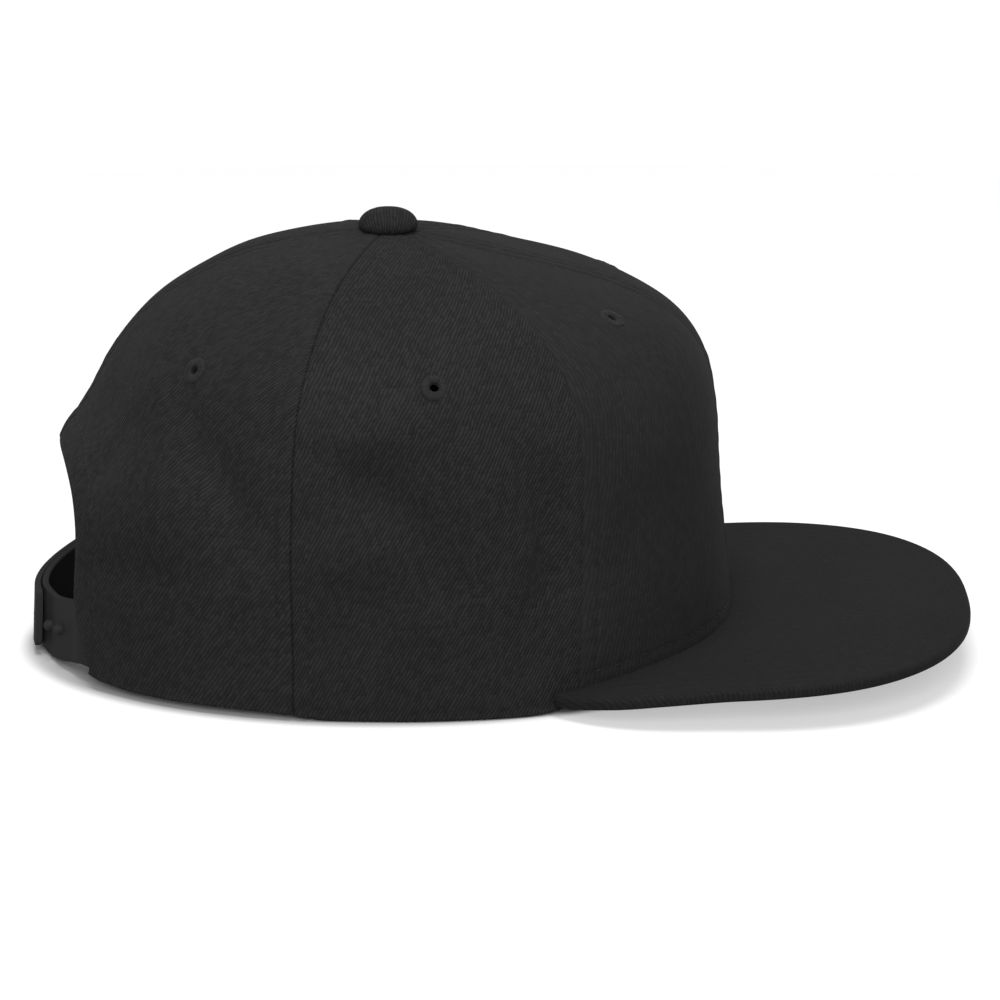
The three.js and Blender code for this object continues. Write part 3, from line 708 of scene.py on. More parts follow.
# Distances from a seam at which a gore has its columns: close together at the sewing
NEAR_SEAM = np.array([
    0, 0.2, 0.45, 0.8, 1.25, 1.8, 2.5, 3.2, 3.8, 4.3, 4.65, 5.0, 5.35, 5.7, 6.2, 7.1, 8.4, 10.2,
])
NEAR_EDGE = np.array([
    0, 0.12, 0.35, 0.7, 1.1, 1.7, 2.4, 3.2, 4.1, 5.0, 5.9, 6.6, 7.1, 7.5, 7.9, 8.4, 9.2, 10.4,
])
NEAR_RIM = np.array([0, 0.12, 0.35, 0.7, 1.1, 1.6, 2.4])
SEAM_ROOM = 12.5


def between_seams(width, middle):
    """Column places across a gore, in millimetres from its first seam."""
    near = NEAR_SEAM * min(1.0, width / 2 / SEAM_ROOM)
    inside = np.linspace(near[-1], width - near[-1], middle + 2)[1:-1]
    return np.concatenate([near, inside, width - near[::-1]])


def up_at_radius(around, radius):
    """Share of the way up at which the crown is a radius from its axis."""
    low, high = np.zeros_like(around), np.ones_like(around)
    for _ in range(30):
        middle = (low + high) / 2
        point = crown_point(around, middle)
        wide = np.hypot(point[..., 0] - APEX_FORWARD, point[..., 1]) > radius
        low, high = np.where(wide, middle, low), np.where(wide, high, middle)
    return (low + high) / 2


# Seams by their angle: depth and half width of the sunk join, and height of the doubled cloth beside it
SEAM_SINK = {0.0: (0.5, 0.28, 0.22), FRONT_SEAM: (0.26, 0.36, 0.16), SIDE_SEAM: (0.62, 0.23, 0.26),
             180.0: (0.6, 0.25, 0.26)}


def stitch_wave(length):
    """One at the middle of each stitch of a row and zero between the stitches."""
    return 0.5 + 0.5 * np.cos(2 * math.pi * length / STITCH_PITCH)


def edge_drop(distance):
    """How far a cut edge of the cloth is rounded off, by the distance from it."""
    edge = np.clip(distance / EDGE_ROUND, 0, 1)
    return EDGE_DROP * (1 - np.sqrt(1 - (1 - edge) ** 2))


def seam_relief(distance, length, sink, sink_width, doubled):
    """Relief beside a seam: the sunk join, the doubled cloth and the pull of the stitch row."""
    pucker = np.sin(2 * math.pi * length / PUCKER_PITCH + 1.5 * np.sin(length / 19.0))
    return (
        -sink * hump(distance, 0.0, sink_width)
        + doubled * hump(distance, 2.5, 1.9)
        - (0.2 + 0.14 * stitch_wave(length)) * hump(distance, SEAM_ROW, 0.5)
        + 0.07 * pucker * hump(distance, 4.0, 2.8)
    )


def hem_relief(distance, off_row, length):
    """Relief beside the arch: rounded edge, doubled cloth and the pull of the stitch row."""
    return (
        -edge_drop(distance)
        + 0.3 * hump(distance, 3.4, 2.8)
        - (0.16 + 0.12 * stitch_wave(length)) * hump(off_row, 0.0, 0.6)
    )


def rim_relief(distance):
    """Rounded lower edge, with the cloth turned in over the band."""
    return -edge_drop(distance) - 0.25 * hump(distance, 2.2, 1.4)


def join_relief(around, above_row):
    """Pull of the stitch row over the brim and the pucker of the cloth just under it."""
    row = hump(above_row, 0.0, 0.7) * smooth_step((BRIM_ANGLE - np.abs(around)) / 3)
    pucker = np.sin(np.radians(around) * 70 + np.sin(around))
    return 0.12 * pucker * hump(above_row, -1.2, 2.4) * (row > 0) - 0.22 * row


def wobble(point):
    """Slight unevenness of cloth over its whole face."""
    x, y, z = point[..., 0], point[..., 1], point[..., 2]
    return 0.09 * (
        np.sin(x / 5.1 + z / 7.3) + np.sin(y / 4.3 - z / 6.1 + 1.0) + np.sin((x + y) / 8.7 - z / 4.9 + 2.0)
    )


CREASE_BEND = 0.008
CREASE_FADE = 13.0


def crease_relief(around, up, per_degree, per_share):
    """Sum of the small creases, which fade towards the band and the button."""
    height = outline_at(HEIGHT, up)
    total = np.zeros_like(up)
    for place, at_height, depth, half_width, half_length, direction in CREASES:
        level = (around - place) * per_degree
        rise = (up - up_at_height(at_height)) * per_share
        turn = math.radians(direction)
        run = level * math.cos(turn) + rise * math.sin(turn)
        off = rise * math.cos(turn) - level * math.sin(turn)
        bend = off - CREASE_BEND * run**2
        total += depth * np.exp(-((bend / half_width) ** 2) - (run / half_length) ** 2)
    above_band = smooth_step((height * CROWN_HEIGHT - BAND_HEIGHT + 2.0) / CREASE_FADE)
    return total * above_band * smooth_step((1 - height) / 0.12)


def join_row_up(around):
    """Share up of the stitch row on the crown above the brim."""
    face = crown_point(around, BRIM_SEAM_UP)
    level = brim_top(face[..., 0], face[..., 1]) + JOIN_ROW
    return up_at_height(level / CROWN_HEIGHT)


def cloth_face(around, up, seams, hem=None):
    """Outer and inner points of the cloth at angles and shares up."""
    point = crown_point(around, up)
    normal, per_degree, per_share = crown_frame(around, up)
    length = up * OUTLINE_LENGTH
    crease = crease_relief(around, up, per_degree, per_share)
    foot = up_at_height(foot_of_cloth(around) / CROWN_HEIGHT)
    off_foot = (up - foot) * per_share
    relief = wobble(point) + crease + rim_relief(off_foot)
    near_seam = np.full(point.shape[:-1], np.inf)
    for seam in seams:
        distance = np.abs(around - seam) * per_degree
        relief = relief + seam_relief(distance, length, *SEAM_SINK[abs(seam)])
        near_seam = np.minimum(near_seam, distance)
    if hem is not None:
        off_edge, off_row = (distance_to_line(point, line) for line in hem)
        relief = relief + hem_relief(off_edge, off_row, length)
    relief = relief + join_relief(around, (up - join_row_up(around)) * per_share)
    allowance = ALLOWANCE_THICKNESS * (1 - smooth_step(near_seam - ALLOWANCE_WIDTH))
    outer = point + normal * relief[..., None]
    inner = point + normal * (crease - CROWN_WALL - allowance)[..., None]
    edge_row = off_foot < TINY
    for face in (inner, outer):
        face[..., 2] = np.where(edge_row, point[..., 2], face[..., 2])
    return outer, inner


def pattern_place(around, up, middle, rib_direction):
    """Place on the cut cloth: across the ribs and along them, in millimetres."""
    point = crown_point(around, up)
    reach = np.hypot(point[..., 0] - APEX_FORWARD, point[..., 1])
    level, rise = np.radians(around - middle) * reach, up * OUTLINE_LENGTH
    turn = math.radians(rib_direction)
    return np.stack([rise * math.cos(turn) - level * math.sin(turn),
                     level * math.cos(turn) + rise * math.sin(turn)], -1)


def hole_place(name, sign):
    """Angle and share up of a gore's air hole."""
    around, height = next((a, h) for n, a, h in AIR_HOLES if n == name)
    return sign * around, float(up_at_height(height))


def gore_piece(name, around, up, seams, material, rib_direction, node, hem=None):
    """One gore from a grid of angles and shares up."""
    outer, inner = cloth_face(around, up, seams, hem)
    rows, columns = around.shape
    hole_around, hole_up = hole_place(name.split("_")[1], 1 if name.endswith("left") else -1)
    hole = crown_point(hole_around, hole_up)
    centre = (outer[:-1, :-1] + outer[1:, 1:] + outer[1:, :-1] + outer[:-1, 1:]) / 4
    kept = np.linalg.norm(centre - hole, axis=-1) > HOLE_CUT
    middle = (max(seams) + min(seams)) / 2
    flat = pattern_place(around, up, middle, rib_direction)
    points = np.concatenate([outer.reshape(-1, 3), inner.reshape(-1, 3)])
    uv = np.concatenate([flat.reshape(-1, 2)] * 2)
    piece = make_mesh(name, points, slab_faces(rows, columns, kept), uv, sharp_angle=60)
    fit_piece(piece, "twill", material, node)


def seam_to_seam(first, second, middle_columns):
    """Angles and shares up of a gore between two seams, from its foot to the hole under the button."""
    length = OUTLINE_LENGTH
    even = np.arange(NEAR_RIM[-1], length - 0.5, STITCH_PITCH / 3)
    rows = np.concatenate([NEAR_RIM[:-1], even, [length]]) / length
    dense = np.linspace(first, second, 121)
    foot = up_at_height(foot_of_cloth(dense) / CROWN_HEIGHT)
    top = up_at_radius(dense, TOP_HOLE)
    around, up = [], []
    for share in rows:
        ups = foot + (top - foot) * share
        length_across = along(crown_point(dense, ups))
        at = np.interp(between_seams(length_across[-1], middle_columns), length_across, dense)
        around.append(at)
        up.append(np.interp(at, dense, ups))
    return np.array(around), np.array(up)


def arch_line(outward=0.0):
    """Angles and shares up along the arch edge, or a line outside it, on the wearer's left."""
    return back_place(*arch_path(ARCH_LINE_POINTS, outward))


def plane_of(around, up):
    """The crown laid flat about its top, where the grid of a back gore is blended."""
    a = np.radians(around)
    return np.stack([(1 - up) * np.cos(a), (1 - up) * np.sin(a)], -1)


# Lengths of a back gore across and up its sides, by which its rows near an edge are spaced
BACK_ACROSS = 78.0
BACK_UP = 110.0
BACK_CENTRE_UP = 104.0


def close_at_ends(first, last, middle):
    """Shares from 0 to 1 with given places near both ends and even ones between."""
    even = np.linspace(first[-1], 1 - last[-1], middle + 2)[1:-1]
    return np.concatenate([first, even, 1 - last[::-1]])


def back_grid(middle_across, middle_up):
    """Angles and shares up of the wearer's left back gore, whose grid follows the arch."""
    arch_around, arch_up = arch_line()
    foot_z = float(foot_of_cloth(np.array(arch_around[0])))
    arch_up[0] = up_at_height(foot_z / CROWN_HEIGHT)
    rim_around = np.linspace(arch_around[0], SIDE_SEAM, 120)
    rim_up = up_at_height(foot_of_cloth(rim_around) / CROWN_HEIGHT)
    top_up = up_at_radius(np.array([180.0]), TOP_HOLE)[0]
    seam_up = np.linspace(rim_up[-1], up_at_radius(np.array([SIDE_SEAM]), TOP_HOLE)[0], 200)
    seam_around = np.full(200, SIDE_SEAM)
    hole_around = np.linspace(180, SIDE_SEAM, 12)[1:]
    centre_around = np.concatenate([np.full(150, 180.0), hole_around])
    centre_up = np.concatenate([np.linspace(arch_up[-1], top_up, 150),
                                up_at_radius(hole_around, TOP_HOLE)])
    across = close_at_ends(NEAR_EDGE / BACK_ACROSS, NEAR_SEAM / BACK_ACROSS, middle_across)
    upward = close_at_ends(NEAR_RIM / BACK_UP, NEAR_SEAM / BACK_CENTRE_UP, middle_up)

    def side(a, u, at):
        length = along(crown_point(a, u))
        flat = plane_of(a, u)
        return np.stack([np.interp(at * length[-1], length, flat[:, k]) for k in (0, 1)], -1)

    arch, seam = side(arch_around, arch_up, upward), side(seam_around, seam_up, upward)
    rim, centre = side(rim_around, rim_up, across), side(centre_around, centre_up, across)
    u, v = across[None, :, None], upward[:, None, None]
    low_corners = (1 - u) * (1 - v) * rim[0] + u * (1 - v) * rim[-1]
    corners = low_corners + (1 - u) * v * centre[0] + u * v * centre[-1]
    flat = (1 - u) * arch[:, None] + u * seam[:, None] + (1 - v) * rim[None] + v * centre[None] - corners
    around = np.degrees(np.arctan2(flat[..., 1], flat[..., 0])) % 360
    return around, 1 - np.hypot(flat[..., 0], flat[..., 1])


# Direction of the ribs on each gore, in degrees from level
RIBS = {"front": 80.0, "side": 62.0, "back": 57.0}
GORE_TWILL = {"front": FRONT_TWILL, "side": SIDE_TWILL, "back": BACK_TWILL}
SIDES = (("left", 1), ("right", -1))

hem_around, hem_up = arch_line()
row_around, row_up = arch_line(HEM_ROW)
HEM_LINES = {
    sign: (crown_point(sign * hem_around, hem_up), crown_point(sign * row_around, row_up))
    for _, sign in SIDES
}
MIDDLE_COLUMNS = 44

for part, seams in (("front", (0.0, FRONT_SEAM)), ("side", (FRONT_SEAM, SIDE_SEAM))):
    for side_name, sign in SIDES:
        first, second = sorted(sign * seam for seam in seams)
        around, up = seam_to_seam(first, second, MIDDLE_COLUMNS)
        gore_piece(f"gore_{part}_{side_name}", around, up, (first, second), GORE_TWILL[part],
                   RIBS[part], f"{part}_panel_{side_name}")

back_around, back_up = back_grid(middle_across=42, middle_up=90)
for side_name, sign in SIDES:
    gore_piece(f"gore_back_{side_name}", sign * back_around, back_up, (sign * SIDE_SEAM, sign * 180.0),
               BACK_TWILL, RIBS["back"], f"back_panel_{side_name}", HEM_LINES[sign])


def stitch_template():
    """One stitch lying along X, its ends sinking: points in shares of the thread's radius, and quads."""
    rings = [(-1.0, 0.35), (-0.72, 0.82), (-0.3, 1.0), (0.3, 1.0), (0.72, 0.82), (1.0, 0.35)]
    sides = 6
    points = []
    for x, size in rings:
        for k in range(sides):
            turn = 2 * math.pi * k / sides
            height = math.sin(turn) * size - 0.9 * x**4
            points.append((x * STITCH_LENGTH / 2, math.cos(turn) * size, height))
    faces = []
    for i in range(len(rings) - 1):
        for k in range(sides):
            n = (k + 1) % sides
            faces.append((i * sides + k, i * sides + n, (i + 1) * sides + n, (i + 1) * sides + k))
    last = (len(rings) - 1) * sides
    for start in (0, last):
        ring = [start + k for k in range(sides)]
        ring = ring[::-1] if start == 0 else ring
        faces.append((ring[0], ring[1], ring[2], ring[3]))
        faces.append((ring[0], ring[3], ring[4], ring[5]))
    return np.array(points), np.array(faces)


STITCH_POINTS, STITCH_FACES = stitch_template()


def stitch_row(path, normals, radius=THREAD_RADIUS, sink=STITCH_SINK):
    """Stitches laid end to end along a line on the cloth: points and faces."""
    run = along(path)
    count = int(run[-1] / STITCH_PITCH)
    at = (np.arange(count) + 0.5) * STITCH_PITCH
    centre = np.stack([np.interp(at, run, path[:, k]) for k in range(3)], -1)
    normal = unit(np.stack([np.interp(at, run, normals[:, k]) for k in range(3)], -1))
    ahead = np.stack([np.interp(at + 0.5, run, path[:, k]) for k in range(3)], -1)
    behind = np.stack([np.interp(at - 0.5, run, path[:, k]) for k in range(3)], -1)
    forward = unit(ahead - behind)
    level = unit(np.cross(normal, forward))
    lean = 0.06 * np.sin(np.arange(count) * 2.4)[:, None]
    forward, level = forward + lean * level, level - lean * forward
    shape = STITCH_POINTS * [1.0, radius, radius]
    points = (
        centre[:, None]
        + shape[None, :, 0:1] * forward[:, None]
        + shape[None, :, 1:2] * level[:, None]
        + (shape[None, :, 2:3] - sink) * normal[:, None]
    )
    faces = STITCH_FACES[None] + np.arange(count)[:, None, None] * len(STITCH_POINTS)
    return points.reshape(-1, 3), faces.reshape(-1, 4)


def joined(rows):
    """One set of points and faces from several."""
    points, faces, count = [], [], 0
    for row_points, row_faces in rows:
        points.append(row_points)
        faces.append(row_faces + count)
        count += len(row_points)
    return np.concatenate(points), np.concatenate(faces)


def on_cloth(around, up, lift):
    """Points lifted off the creased cloth, and its normals there."""
    normal, per_degree, per_share = crown_frame(around, up)
    point = crown_point(around, up)
    level = lift + wobble(point) + crease_relief(around, up, per_degree, per_share)
    return point + normal * level[..., None], normal


# Height of each row's thread over the cloth's own face
SEAM_ROW_LIFT = -0.24
HEM_ROW_LIFT = -0.18
JOIN_ROW_LIFT = -0.16


def beside_seam(seam, way):
    """Line on the cloth beside a seam, from its foot to the button."""
    edge = np.array([float(seam)])
    low = float(up_at_height(foot_of_cloth(edge) / CROWN_HEIGHT)[0])
    if abs(seam) == 180:
        low = float(hem_up[-1]) + 0.5 / OUTLINE_LENGTH
    if abs(seam) < BRIM_ANGLE:
        low = float(join_row_up(edge)[0])
    high = float(up_at_radius(edge, 10.0)[0])
    up = np.linspace(low + 1.0 / OUTLINE_LENGTH, high, 300)
    per_degree = crown_frame(np.full_like(up, seam), up)[1]
    around = seam + way * SEAM_ROW / per_degree
    return on_cloth(around, up, SEAM_ROW_LIFT)


def side_stitching(side_name, sign):
    """All stitch rows of one half of the crown: beside its seams, round the arch and over the brim."""
    rows = []
    for seam, ways in ((0.0, (sign,)), (FRONT_SEAM * sign, (1, -1)), (SIDE_SEAM * sign, (1, -1)),
                       (180.0 * sign, (-sign,))):
        for way in ways:
            rows.append(stitch_row(*beside_seam(seam, way)))
    rows.append(stitch_row(*on_cloth(sign * row_around, row_up, HEM_ROW_LIFT)))
    around = sign * np.linspace(0.3, BRIM_ANGLE - 2.5, 200)
    rows.append(stitch_row(*on_cloth(around, join_row_up(around), JOIN_ROW_LIFT)))
    piece = make_mesh(f"crown_stitching_{side_name}", *joined(rows))
    fit_piece(piece, "thread", THREAD)


for side_name, sign in SIDES:
    side_stitching(side_name, sign)


def ring_faces(rows, columns, closed_rows):
    """Quads of a grid that closes on itself round its columns, and round its rows if asked."""
    index = np.arange(rows * columns).reshape(rows, columns)
    below = index if closed_rows else index[:-1]
    above = np.roll(index, -1, axis=0) if closed_rows else index[1:]
    faces = np.stack([below, np.roll(below, -1, axis=1), np.roll(above, -1, axis=1), above], -1)
    return faces.reshape(-1, 4)


# Section of a sewn ring, from its bore over the cloth and back under it: radius, height over the cloth
# and share of the threads' relief
RING_PROFILE = [
    (HOLE_BORE, -0.9, 0.3), (HOLE_BORE, -0.05, 0.5), (1.55, 0.24, 1.0), (2.1, 0.42, 1.0), (2.8, 0.4, 1.0),
    (3.4, 0.24, 1.0), (3.75, 0.0, 0.8), (HOLE_RIM, -0.35, 0.3), (3.4, -2.0, 0.3), (3.2, -2.5, 0.8),
    (2.2, -2.6, 1.0), (1.5, -2.2, 0.6),
]
RING_THREADS = 30
RING_COLUMNS = 264


def sewn_ring(part, side_name, sign):
    """Air hole whose edge is wrapped in close radial stitches on both faces of the cloth."""
    around, up = hole_place(part, sign)
    point, normal = on_cloth(np.array([around]), np.array([up]), 0.0)
    point, normal = point[0], normal[0]
    across = unit(np.cross(normal, [0.0, 0.0, 1.0]))
    over = np.cross(across, normal)
    turn = np.linspace(0, 2 * math.pi, RING_COLUMNS, endpoint=False)
    ridge = np.abs(np.sin(turn * RING_THREADS / 2 + 0.5 * np.sin(turn * 7 + sign))) ** 0.6
    ridge = ridge * (0.8 + 0.3 * np.sin(turn * 9 + 1.3) * np.sin(turn * 4))
    points = []
    for k, (radius, height, relief) in enumerate(RING_PROFILE):
        uneven = 0.05 * np.sin(turn * 5 + k) + 0.04 * np.sin(turn * 11 + 2.0)
        reach = radius + np.where(radius > 3.3, uneven + 0.12 * ridge * relief, 0.0)
        lift = height + np.where(height > -0.1, 0.24, -0.12) * (ridge - 0.5) * relief
        spoke = np.cos(turn)[:, None] * across + np.sin(turn)[:, None] * over
        points.append(point + reach[:, None] * spoke + lift[:, None] * normal)
    piece = make_mesh(f"sewn_ring_{part}_{side_name}", np.array(points),
                      ring_faces(len(RING_PROFILE), RING_COLUMNS, True))
    fit_piece(piece, "thread", EYELET_THREAD, f"eyelet_{part}_{side_name}")


for part, _, _ in AIR_HOLES:
    for side_name, sign in SIDES:
        sewn_ring(part, side_name, sign)


# Section of the button, from its top over the edge to its pin: radius, height over the crown's top
BUTTON_PROFILE = [
    (0.02, 6.2), (1.6, 6.16), (3.1, 6.02), (4.5, 5.72), (5.7, 5.25), (6.7, 4.65), (7.5, 3.95),
    (8.1, 3.15), (8.45, 2.35), (8.6, 1.55), (8.5, 0.85), (8.15, 0.3), (7.6, -0.05), (6.6, -0.2),
    (4.6, -0.1), (2.2, 0.0), (2.2, -3.0), (0.02, -3.0),
]


def covered_button():
    """Cloth-covered button: a low dome with its cloth gathered in under the edge."""
    columns = 144
    turn = np.linspace(0, 2 * math.pi, columns, endpoint=False)
    points, uv = [], []
    run = 0.0
    last = BUTTON_PROFILE[0]
    for radius, height in BUTTON_PROFILE:
        run += math.hypot(radius - last[0], height - last[1])
        last = (radius, height)
        gathers = 0.1 * np.sin(turn * 22 + np.sin(turn * 3))
        reach = radius + gathers * smooth_step((3.4 - height) / 3.0) * (radius > 6)
        points.append(np.stack([APEX_FORWARD + reach * np.cos(turn), reach * np.sin(turn),
                                np.full(columns, CROWN_HEIGHT + height)], -1))
        uv.append(np.stack([run * np.cos(turn), run * np.sin(turn)], -1))
    piece = make_mesh("covered_button", np.array(points), ring_faces(len(BUTTON_PROFILE), columns, False),
                      np.array(uv))
    close_ends(piece)
    fit_piece(piece, "twill", SIDE_TWILL, "top_button")


def close_ends(piece):
    """Fills the rings left open at both ends of a shape."""
    shape = bmesh.new()
    shape.from_mesh(piece.data)
    shape.verts.ensure_lookup_table()
    bmesh.ops.holes_fill(shape, edges=[e for e in shape.edges if e.is_boundary], sides=0)
    bmesh.ops.recalc_face_normals(shape, faces=shape.faces)
    shape.to_mesh(piece.data)
    shape.free()


covered_button()


def brim_edge(share):
    """Outer edge of the brim: 0 at its tip, 1 at its rear corner."""
    share = np.asarray(share, float)
    wide = BRIM_WIDTH / 2
    centre = BRIM_CORNER[0] + (BRIM_TIP - BRIM_CORNER[0]) * BRIM_WIDEST
    turn = np.clip(share / BRIM_ROUND_SHARE, 0, 1) * math.pi / 2
    power = 2 / BRIM_SQUARENESS
    round_x = centre + (BRIM_TIP - centre) * np.maximum(np.cos(turn), 0) ** power
    round_y = wide * np.sin(turn) ** power
    t = np.clip((share - BRIM_ROUND_SHARE) / (1 - BRIM_ROUND_SHARE), 0, 1)
    pull = (centre - BRIM_CORNER[0]) * BRIM_TAIL_PULL
    leave = math.radians(BRIM_TAIL_ANGLE)
    corner = np.array([BRIM_CORNER[0], BRIM_CORNER[1] + BRIM_CORNER_WIDTH])
    ends = [np.array([centre, wide]), np.array([centre - pull, wide]),
            corner + pull * np.array([math.cos(leave), math.sin(leave)]), corner]
    weights = [(1 - t) ** 3, 3 * t * (1 - t) ** 2, 3 * t**2 * (1 - t), t**3]
    tail = sum(w[..., None] * p for w, p in zip(weights, ends))
    on_tail = share > BRIM_ROUND_SHARE
    return np.where(on_tail, tail[..., 0], round_x), np.where(on_tail, tail[..., 1], round_y)


def brim_inner(share):
    """The brim's edge sewn into the crown, for shares from -1 (right corner) to 1 (left corner)."""
    around = share * BRIM_ANGLE
    rough = crown_point(around, BRIM_SEAM_UP)
    up = up_at_height((brim_top(rough[..., 0], rough[..., 1]) - BRIM_THICKNESS / 2) / CROWN_HEIGHT)
    return crown_inside(around, up, np.full(np.shape(share), BRIM_SEWN_IN))


BRIM_ROWS = 8
BRIM_ROW_PITCH = 6.0
BRIM_FIRST_ROW = 3.2
BRIM_EDGE_ROUND = 1.7
BRIM_EDGE_DROP = 1.12
BRIM_CHANNEL = 0.05


def brim_span(share):
    """Inner and outer ends of the brim's cross lines, seen from above."""
    inner = brim_inner(share)
    x, y = brim_edge(np.abs(share))
    return inner[..., :2], np.stack([x, y * np.sign(share)], -1)


def brim_shares(count):
    """Shares across the brim whose edge points lie evenly apart."""
    dense = np.linspace(-1, 1, 2001)
    x, y = brim_edge(np.abs(dense))
    run = along(np.stack([x, y * np.sign(dense), np.zeros_like(x)], -1))
    return np.interp(np.linspace(0, run[-1], count), run, dense)


def brim_cover():
    """Cloth-covered brim: its top, its wrapped edge and its underside in one closed face."""
    shares = brim_shares(221)
    inner, outer = brim_span(shares)
    span = np.linalg.norm(outer - inner, axis=1)
    # Places close to the edge, by their distance from it
    off_edge = np.concatenate([np.linspace(0, 1.0, 5)[1:] ** 2 * BRIM_EDGE_ROUND, [2.2, 2.9, 3.8, 5.0]])
    outward = np.linspace(0, 1, 56)
    loops, flats = [], []
    for start, end, width in zip(inner, outer, span):
        near = np.minimum(off_edge / max(width, 1.0), 0.5)
        reach = np.concatenate([outward * (1 - near[-1]), 1 - near[::-1][1:]])
        place = start + (end - start) * reach[:, None]
        to_edge = (1 - reach) * width
        off_row = np.clip((to_edge - BRIM_FIRST_ROW) / BRIM_ROW_PITCH, -0.5, BRIM_ROWS - 0.5)
        off_row = ((off_row + 0.5) % 1.0 - 0.5) * BRIM_ROW_PITCH
        stitched = (to_edge < BRIM_FIRST_ROW + BRIM_ROW_PITCH * (BRIM_ROWS - 0.5)) * (to_edge > 2.0)
        channel = BRIM_CHANNEL * np.exp(-((off_row / 0.8) ** 2)) * stitched
        bend = 1 - np.clip(to_edge / BRIM_EDGE_ROUND, 0, 1)
        drop = BRIM_EDGE_DROP * (1 - np.sqrt(np.clip(1 - bend**2, 0, 1)))
        level = brim_top(place[:, 0], place[:, 1])
        top = np.column_stack([place, level - channel - drop])
        under = np.column_stack([place, level - BRIM_THICKNESS + channel + drop])
        tip_level = float(brim_top(*end)) - BRIM_THICKNESS / 2
        edge = [np.array([*end, tip_level + side * BRIM_THICKNESS * 0.15]) for side in (1.0, -1.0)]
        loops.append(np.concatenate([top, edge, under[::-1]]))
        # The cloth is unrolled round the edge, so that its ribs run on from the top to the underside
        run = np.concatenate([to_edge, [-0.9, -2.1], -3.0 - to_edge[::-1]])
        flat = end - unit(end - start) * run[:, None]
        flats.append(np.stack([flat[:, 0] + flat[:, 1], flat[:, 0] - flat[:, 1]], -1) / math.sqrt(2))
    rows, columns = len(loops), len(loops[0])
    piece = make_mesh("brim_cover", np.array(loops), ring_faces(rows, columns, False), np.array(flats),
                      sharp_angle=70)
    close_ends(piece)
    fit_piece(piece, "twill", BRIM_TWILL, "brim")


brim_cover()


def brim_stitching():
    """Even rows of stitches round the brim, on its top and its underside."""
    rows = []
    for k in range(BRIM_ROWS):
        inward = BRIM_FIRST_ROW + k * BRIM_ROW_PITCH
        shares = np.linspace(-0.985, 0.985, 700)
        inner, outer = brim_span(shares)
        span = np.linalg.norm(outer - inner, axis=1)
        fits = span > inward + 3.0
        if fits.sum() < 20:
            continue
        inner, outer, span = inner[fits], outer[fits], span[fits]
        place = outer + (inner - outer) * (inward / span)[:, None]
        level = brim_top(place[:, 0], place[:, 1])
        for face, normal in ((-0.16, 1.0), (-BRIM_THICKNESS + 0.16, -1.0)):
            path = np.column_stack([place, level + face])
            ups = np.tile([0.0, 0.0, normal], (len(path), 1))
            rows.append(stitch_row(path, ups, radius=0.15, sink=0.08))
    piece = make_mesh("brim_stitching", *joined(rows))
    fit_piece(piece, "thread", BRIM_THREAD)


brim_stitching()

STRAP_FACE = CROWN_WALL + FIT


def angle_at_width(width):
    """Angle on the back at which the rim is a given width from the middle."""
    widths = crown_point(TURN_SAMPLES, 0.05)[:, 1]
    return float(np.interp(-width, -widths, TURN_SAMPLES))


ARCH_EDGE_ANGLE = angle_at_width(ARCH_HALF)
STRAP_END_ANGLE = angle_at_width(ARCH_HALF + STRAP_TUCK)


def inside_band():
    """Band inside the rim, with a rounded top and a turned-in lower edge."""
    end = angle_at_width(float(arch_foot(0.0))) - 1
    around = np.linspace(-end, end, 321)
    low = foot_of_cloth(around) + BAND_RISE
    past = (np.abs(around) - STRAP_END_ANGLE) / BAND_STEP_ANGLE + 1.5
    depth = CROWN_WALL + BAND_CLEARANCE + (STRAP_THICKNESS + FIT) * smooth_step(past)
    shares = np.array([0, 0.01, 0.03, 0.08, 0.1, 0.12, 0.2, 0.35, 0.5, 0.65, 0.8, 0.92, 0.97, 0.99, 1.0])
    outer, inner = [], []
    for share in shares:
        z = low + BAND_HEIGHT * share
        up = up_at_height(z / CROWN_HEIGHT)
        round_off = 0.45 * (1 - math.sqrt(max(0.0, 1 - (1 - min(share, 1 - share, 0.02) / 0.02) ** 2)))
        row = 0.2 * math.exp(-(((share - 0.1) / 0.012) ** 2))
        face = crown_inside(around, up, depth + round_off)
        swell = 0.12 * np.sin(np.radians(around) * 31) * (1 - share)
        back = crown_inside(around, up, depth + BAND_THICKNESS - round_off - row + swell)
        face[..., 2] = z
        back[..., 2] = z
        outer.append(face)
        inner.append(back)
    outer, inner = np.array(outer), np.array(inner)
    kept = np.ones((len(shares) - 1, len(around) - 1), bool)
    run = along(outer[0])
    flat = np.stack([np.broadcast_to(run, outer.shape[:2]), outer[..., 2]], -1)
    turn = math.radians(BAND_RIBS)
    flat = np.stack([flat[..., 1] * math.cos(turn) - flat[..., 0] * math.sin(turn),
                     flat[..., 0] * math.cos(turn) + flat[..., 1] * math.sin(turn)], -1)
    points = np.concatenate([outer.reshape(-1, 3), inner.reshape(-1, 3)])
    piece = make_mesh("inside_band", points, slab_faces(*outer.shape[:2], kept),
                      np.concatenate([flat.reshape(-1, 2)] * 2), sharp_angle=60)
    fit_piece(piece, "band_cloth", BAND_CLOTH, "sweatband")


inside_band()

# Snap strap: lengths run along the rim at the back from its middle, positive to the wearer's left
STRAP_MIDDLE = STRAP_LIFT + STRAP_HEIGHT / 2
STRAP_UP = float(up_at_height(STRAP_MIDDLE / CROWN_HEIGHT))
WALK_TURN = np.arange(0, 91)
WALK_LENGTH = along(crown_point(180.0 - WALK_TURN, np.full(91, STRAP_UP)))


def angle_at_length(length):
    """Angle on the back at a length along the rim from its middle."""
    turn = np.interp(np.abs(length), WALK_LENGTH, WALK_TURN)
    return (180 - turn) * np.where(np.asarray(length) < 0, -1, 1)


def length_at_angle(around):
    return float(np.interp(180 - around, WALK_TURN, WALK_LENGTH))


